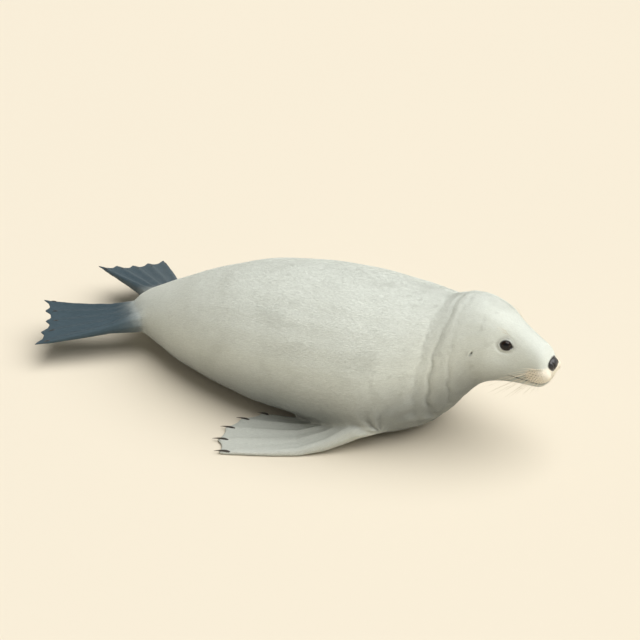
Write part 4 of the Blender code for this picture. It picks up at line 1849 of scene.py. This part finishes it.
@dataclass
class Eye:
    """A wet ball in its socket."""

    marks: Landmarks
    side: Side
    bulge: float = 0.0007
    cornea: float = 0.6

    def build(self, finish: EyeFinish) -> None:
        """Makes the ball, with the cornea standing a little proud.

        Args:
            finish: its material.
        """
        radius = self.marks.eye_radius
        bm = bmesh.new()
        bmesh.ops.create_uvsphere(bm, u_segments=64, v_segments=48, radius=radius)
        local = places_in(bm)
        angle = np.arctan2(np.hypot(local[:, 0], local[:, 1]), local[:, 2])
        local *= (1.0 + self.bulge / radius * np.exp(-((angle / self.cornea) ** 4)))[:, None]
        moved(bm, local @ self.marks.eye_axes(self.side) + np.array(self.marks.eyes[self.side]))
        mesh = outward_mesh("eye", bm)
        attribute(mesh, "from_axis", angle)
        put(f"eyeball_{self.side.word}", mesh, finish.material(), "eye", f"eye_{self.side.word}")


# ---------------------------------------------------------------- nose


@dataclass
class Nose:
    """The leathery nose with its two slit nostrils."""

    marks: Landmarks
    grow: float = 0.0004
    nostril_y: float = 0.0125
    nostril_lean: float = 0.30
    nostril_depth: float = 0.0075
    nostril_width: float = 0.0026
    nostril_length: float = 0.0085
    wing_height: float = 0.0014
    groove_depth: float = 0.0016

    def build(self, finish: NoseFinish) -> None:
        """Makes the nose.

        Args:
            finish: its material.
        """
        bm = bmesh.new()
        bmesh.ops.create_icosphere(bm, subdivisions=6, radius=1.0)
        radii = self.marks.nose_radii + Vector((self.grow,) * 3)
        points = places_in(bm)
        x, y, z = points.T
        y, z = y * radii.y, z * radii.z
        off = np.abs(y) - self.nostril_y - self.nostril_lean * z
        hollow = hill(np.hypot(off / self.nostril_width, z / self.nostril_length), 1.0) * ease(0.0, 0.3, x)
        wing = hill(np.hypot((off - 0.005) / 0.0035, z / 0.010), 1.0) * ease(0.0, 0.3, x)
        groove = hill(y, 0.0016) * ease(0.006, -0.004, z) * ease(0.0, 0.4, x)
        lift = self.wing_height * wing - self.nostril_depth * hollow - self.groove_depth * groove
        normal = unit(points / np.array(radii))
        moved(bm, points * np.array(radii) + normal * lift[:, None] + np.array(self.marks.nose))
        mesh = outward_mesh("nose", bm)
        # hollow carries the painted shade of the nostril pits
        attribute(mesh, "hollow", np.clip(hollow * 1.5, 0, 1))
        put("nose_leather", mesh, finish.material(), "nose_skin", "nose")


# ---------------------------------------------------------------- whiskers


@dataclass(frozen=True)
class WhiskerRoot:
    """Where one whisker leaves its pad, and how."""

    place: Array
    way: Array
    length: float
    thick: float


PAD_ROWS = ((52, 5), (34, 6), (17, 7), (0, 8), (-17, 8), (-33, 6))  # rise in degrees, whiskers
BROW_WHISKERS = ((0.012, 0.030, 0.045), (0.004, 0.034, 0.060), (-0.005, 0.032, 0.050), (0.000, 0.041, 0.040))


def whisker_roots(marks: Landmarks, side: Side) -> list[WhiskerRoot]:
    """Lays out the rows of whiskers on one pad.

    Args:
        marks: the body's places.
        side: the side.

    Returns:
        The roots, front ones first in each row.
    """
    found = []
    for row, (tilt, count) in enumerate(PAD_ROWS):
        for k in range(count):
            share = (k + 0.5 * (row % 2)) / 7.5
            turn, rise = math.radians(48 + 92 * share), math.radians(tilt - 6 * share)
            level = math.cos(rise)
            out = np.array((math.cos(turn) * level, math.sin(turn) * level * side.value, math.sin(rise)))
            place = np.array(marks.pads[side]) + out * np.array(marks.pad_radii)
            way = unit(out * (0.5, 1.0, 0.7) + np.array((-0.30 - 0.55 * share, 0.0, -0.18)))
            length = 0.022 + 0.085 * share**0.8 * (1.0 - 0.35 * abs(tilt) / 52)
            found.append(WhiskerRoot(place, way, length, 0.00050 + 0.00028 * share))
    return found


@dataclass
class Whiskers:
    """Stiff whiskers on the pads and a few over each eye, waved along their length."""

    marks: Landmarks
    tree: BVHTree
    rings: int = 12
    sides: int = 5
    seed: int = 7
    sunk: float = 0.0015
    stray: float = 0.06
    brow_thickness: float = 0.00038
    droop: Triple = (-0.30, 0.0, -0.34)
    taper: float = 0.82
    beads: float = 0.10
    bead_spacing: float = 1 / 1500

    def build(self, finish: WhiskerFinish) -> None:
        """Makes the whiskers of each pad and brow.

        Args:
            finish: their material.
        """
        material = finish.material()
        random = np.random.default_rng(self.seed)
        for side in Side:
            pad, brow = whisker_roots(self.marks, side), self.brow_roots(side)
            for name, roots in (("whiskers", pad), ("brow_whiskers", brow)):
                put(f"{name}_{side.word}", self.hairs(name, roots, random), material, "whisker_pad_coat")

    def brow_roots(self, side: Side) -> list[WhiskerRoot]:
        """The few whiskers above the eye.

        Args:
            side: the eye's side.

        Returns:
            Their roots.
        """
        found = []
        for forward, up, length in BROW_WHISKERS:
            place = np.array(self.marks.eyes[side]) + (forward, -0.004 * side.value, up)
            way = unit(np.array((-0.35, 0.45 * side.value, 0.75)))
            found.append(WhiskerRoot(place, way, length, self.brow_thickness))
        return found

    def hairs(self, name: str, roots: list[WhiskerRoot], random: np.random.Generator) -> Mesh:
        """Builds whiskers as tapered tubes.

        Args:
            name: the mesh's name.
            roots: where they leave the skin.
            random: the source of their small differences.

        Returns:
            Their mesh, with along stored.
        """
        every = np.empty((len(roots), self.rings * self.sides + 1, 3))
        steps = np.linspace(0.0, 1.0, self.rings + 1) ** 1.5
        for i, root in enumerate(roots):
            base, facing, _, _ = self.tree.find_nearest(root.place.tolist())
            base = np.array(base) - np.array(facing) * self.sunk
            way = unit(root.way + random.normal(0, self.stray, 3))
            length = root.length * random.uniform(0.88, 1.1)
            droop = np.array(self.droop) * length
            line = base + way * (length * steps)[:, None] + droop * (steps**2)[:, None]
            along = unit(np.gradient(line, axis=0))
            across = unit(np.cross(along, (0.0, 0.31, 0.95)))
            upwards = np.cross(across, along)
            beads = 1.0 + self.beads * np.sin(steps * length / self.bead_spacing)
            bulb = 1.3 * np.exp(-steps * length / 0.0016)
            girth = root.thick * ((1.0 - self.taper * steps) * beads + bulb)
            for k in range(self.sides):
                turn = 2 * math.pi * k / self.sides
                out = across * math.cos(turn) + upwards * math.sin(turn)
                every[i, k : -1 : self.sides] = (line + out * girth[:, None])[:-1]
            every[i, -1] = line[-1]
        return self.tubes(name, every)

    def tubes(self, name: str, every: Array) -> Mesh:
        """Joins the rings of each whisker into a closed tube.

        Args:
            name: the mesh's name.
            every: the points of each whisker.

        Returns:
            The mesh, with along stored.
        """
        n, faces = self.sides, []
        for ring in range(self.rings - 1):
            for k in range(n):
                a, b = ring * n + k, ring * n + (k + 1) % n
                faces += [(a, b, b + n), (a, b + n, a + n)]
        last = (self.rings - 1) * n
        faces += [(last + k, last + (k + 1) % n, last + n) for k in range(n)]
        faces += [(0, k + 1, k) for k in range(1, n - 1)]
        mesh = mesh_of_copies(name, every, np.array(faces))
        each = np.append(np.repeat((np.arange(self.rings) / self.rings) ** 1.5, n), 1.0)
        attribute(mesh, "along", np.tile(each, len(every)))
        return mesh


# ---------------------------------------------------------------- claws


@dataclass
class Claws:
    """The five claws of one flipper, finer copies of their solids."""

    kind: str
    side: Side
    sides: int = 14
    rings: int = 10
    width: float = 0.86
    height: float = 1.08

    def build(self, finish: ClawFinish) -> None:
        """Makes the claws of the flipper.

        Args:
            finish: their material.
        """
        bm = bmesh.new()
        shares: list[float] = []
        nodes = claw_nodes(self.kind, self.side)
        for node in nodes:
            self.claw(bm, node, shares)
        mesh = outward_mesh("claws", bm)
        attribute(mesh, "along", np.array(shares))
        put(f"claws_{self.kind}_{self.side.word}", mesh, finish.material(), "claw", *nodes)

    def spine(self, node: str) -> tuple[Array, Array]:
        """Reads the middle line and the thickness of a claw off its solid.

        Args:
            node: the claw's solid.

        Returns:
            Four points from root to tip, and the radius at each.
        """
        bm = merged_solid(node)
        points = places_in(bm)
        bm.free()
        middle = points.mean(axis=0)
        axis = np.linalg.svd(points - middle)[2][0]
        if axis[0] > 0:
            axis = -axis
        order = np.argsort((points - middle) @ axis)
        groups = [points[part] for part in np.array_split(order, 4)]
        centres = np.array([g.mean(axis=0) for g in groups])
        radii = np.array([np.linalg.norm(g - c, axis=1).mean() for g, c in zip(groups, centres)])
        return centres, radii

    def claw(self, bm: BMesh, node: str, shares: list[float]) -> None:
        """Adds one claw: a ring drawn out along the spine and closed to a worn point.

        Args:
            bm: where it is added.
            node: the claw's solid.
            shares: how far along its claw each point lies, which grows.
        """
        centres, radii = self.spine(node)
        places = np.linspace(0, 3, self.rings)
        line = np.stack([np.interp(places, range(4), centres[:, k]) for k in range(3)], axis=1)
        for _ in range(2):
            line[1:-1] = line[1:-1] * 0.5 + (line[:-2] + line[2:]) * 0.25
        share = places / 3
        girth = np.interp(places, range(4), radii) * (0.55 + 0.5 * ease(0.0, 0.22, share))
        line[:, 2] -= radii.max() * 1.2 * ease(0.34, 0.0, share)
        along = unit(np.gradient(line, axis=0))
        ring = bmesh.ops.create_circle(bm, segments=self.sides, radius=1.0, cap_ends=True)["verts"]
        edges = [e for e in bm.edges if all(v in ring for v in e.verts)]
        ring = sorted(ring, key=lambda v: v.index)
        for k in range(self.rings):
            if k:
                new = bmesh.ops.extrude_edge_only(bm, edges=edges)["geom"]
                ring = [g for g in new if isinstance(g, bmesh.types.BMVert)]
                edges = [g for g in new if isinstance(g, bmesh.types.BMEdge) and all(v in ring for v in g.verts)]
            across = unit(np.cross(along[k], (0.0, 0.0, 1.0)))
            upwards = np.cross(across, along[k])
            for i, vert in enumerate(ring):
                turn = 2 * math.pi * i / self.sides
                out = across * math.cos(turn) * self.width + upwards * math.sin(turn) * self.height
                vert.co = line[k] + out * girth[k]
            shares += [k / (self.rings - 1)] * len(ring)
        bmesh.ops.contextual_create(bm, geom=edges)


# ---------------------------------------------------------------- the studio


@dataclass(frozen=True)
class Studio:
    """The floor, the soft light and the camera."""

    azimuth: float = 30.5
    elevation: float = 28.5
    lens: float = 84.4
    sensor: float = 36.0
    distance: float = 5.04
    target: Triple = (0.0, 0.0, 0.264)
    farthest: float = 200.0
    floor_half: float = 60.0
    sun_forward: float = 26.0
    sun_out: float = -10.0
    sun_spread: float = 70.0
    sun_power: float = 3.65
    sun_colour: Triple = (1.0, 0.985, 0.955)
    horizon: Triple = (0.955, 0.855, 0.68)
    zenith: Triple = (0.22, 0.215, 0.20)
    horizon_blend: float = 0.30

    def build(self, finish: FloorFinish) -> None:
        """Sets the studio up.

        Args:
            finish: the floor's material.
        """
        self.floor(finish)
        self.sun()
        self.sky()
        bpy.context.scene.view_settings.view_transform = "Standard"
        self.camera()

    def floor(self, finish: FloorFinish) -> None:
        """Lays the floor.

        Args:
            finish: its material.
        """
        bm = bmesh.new()
        bmesh.ops.create_grid(bm, x_segments=2, y_segments=2, size=self.floor_half)
        mesh = as_mesh("floor", bm)
        mesh.materials.append(finish.material())
        floor = in_scene("floor", mesh)

    def sky(self) -> None:
        """Fills the studio with faint light from all round, as bright as the floor at the horizon."""
        world = bpy.data.worlds.new("studio")
        world.use_nodes = True
        wiring = Wiring(world.node_tree)
        way = wiring.node("TexCoord", {}).outputs["Generated"]
        height = wiring.node("SeparateXYZ", {"Vector": way}).outputs["Z"]
        colour = wiring.mixed(wiring.span(height, 0.0, self.horizon_blend), self.horizon, self.zenith)
        wiring.feed(world.node_tree.nodes["Background"].inputs["Color"], colour)
        bpy.context.scene.world = world

    def sun(self) -> None:
        """Hangs one broad even light high over the floor, in front of the animal and beyond it."""
        light = bpy.data.lights.new("overhead", "SUN")
        light.angle = math.radians(self.sun_spread)
        light.energy = self.sun_power
        light.color = self.sun_colour
        lamp = in_scene("overhead", light)
        lamp.rotation_euler = (math.radians(self.sun_out), math.radians(self.sun_forward), 0.0)

    def camera(self) -> None:
        """Stands the camera."""
        a, e = math.radians(self.azimuth), math.radians(self.elevation)
        back = Vector((math.sin(a) * math.cos(e), -math.cos(a) * math.cos(e), math.sin(e)))
        lens = bpy.data.cameras.new("camera")
        lens.lens = self.lens
        lens.sensor_width = self.sensor
        lens.clip_end = self.farthest
        camera = in_scene("camera", lens)
        camera.location = Vector(self.target) + back * self.distance
        camera.rotation_euler = back.to_track_quat("Z", "Y").to_euler()
        bpy.context.scene.camera = camera


def main() -> None:
    """Builds the animal's pieces and the studio in order."""
    logging.basicConfig(level=logging.INFO, format="%(message)s")
    markings = Markings()
    marks = Landmarks.measured()
    almond = Almond(marks)
    skin = Skin(marks, almond, Regions()).build(SkinFinish(markings))
    tree = BVHTree.FromObject(skin, bpy.context.evaluated_depsgraph_get())
    for side in Side:
        Eye(marks, side).build(EyeFinish())
    Nose(marks).build(NoseFinish())
    Whiskers(marks, tree).build(WhiskerFinish())
    for kind in KINDS:
        for side in Side:
            Claws(kind, side).build(ClawFinish())
    Coat(marks, almond, tree).build(skin, CoatFinish(markings))
    Studio().build(FloorFinish())


if __name__ == "__main__":
    main()
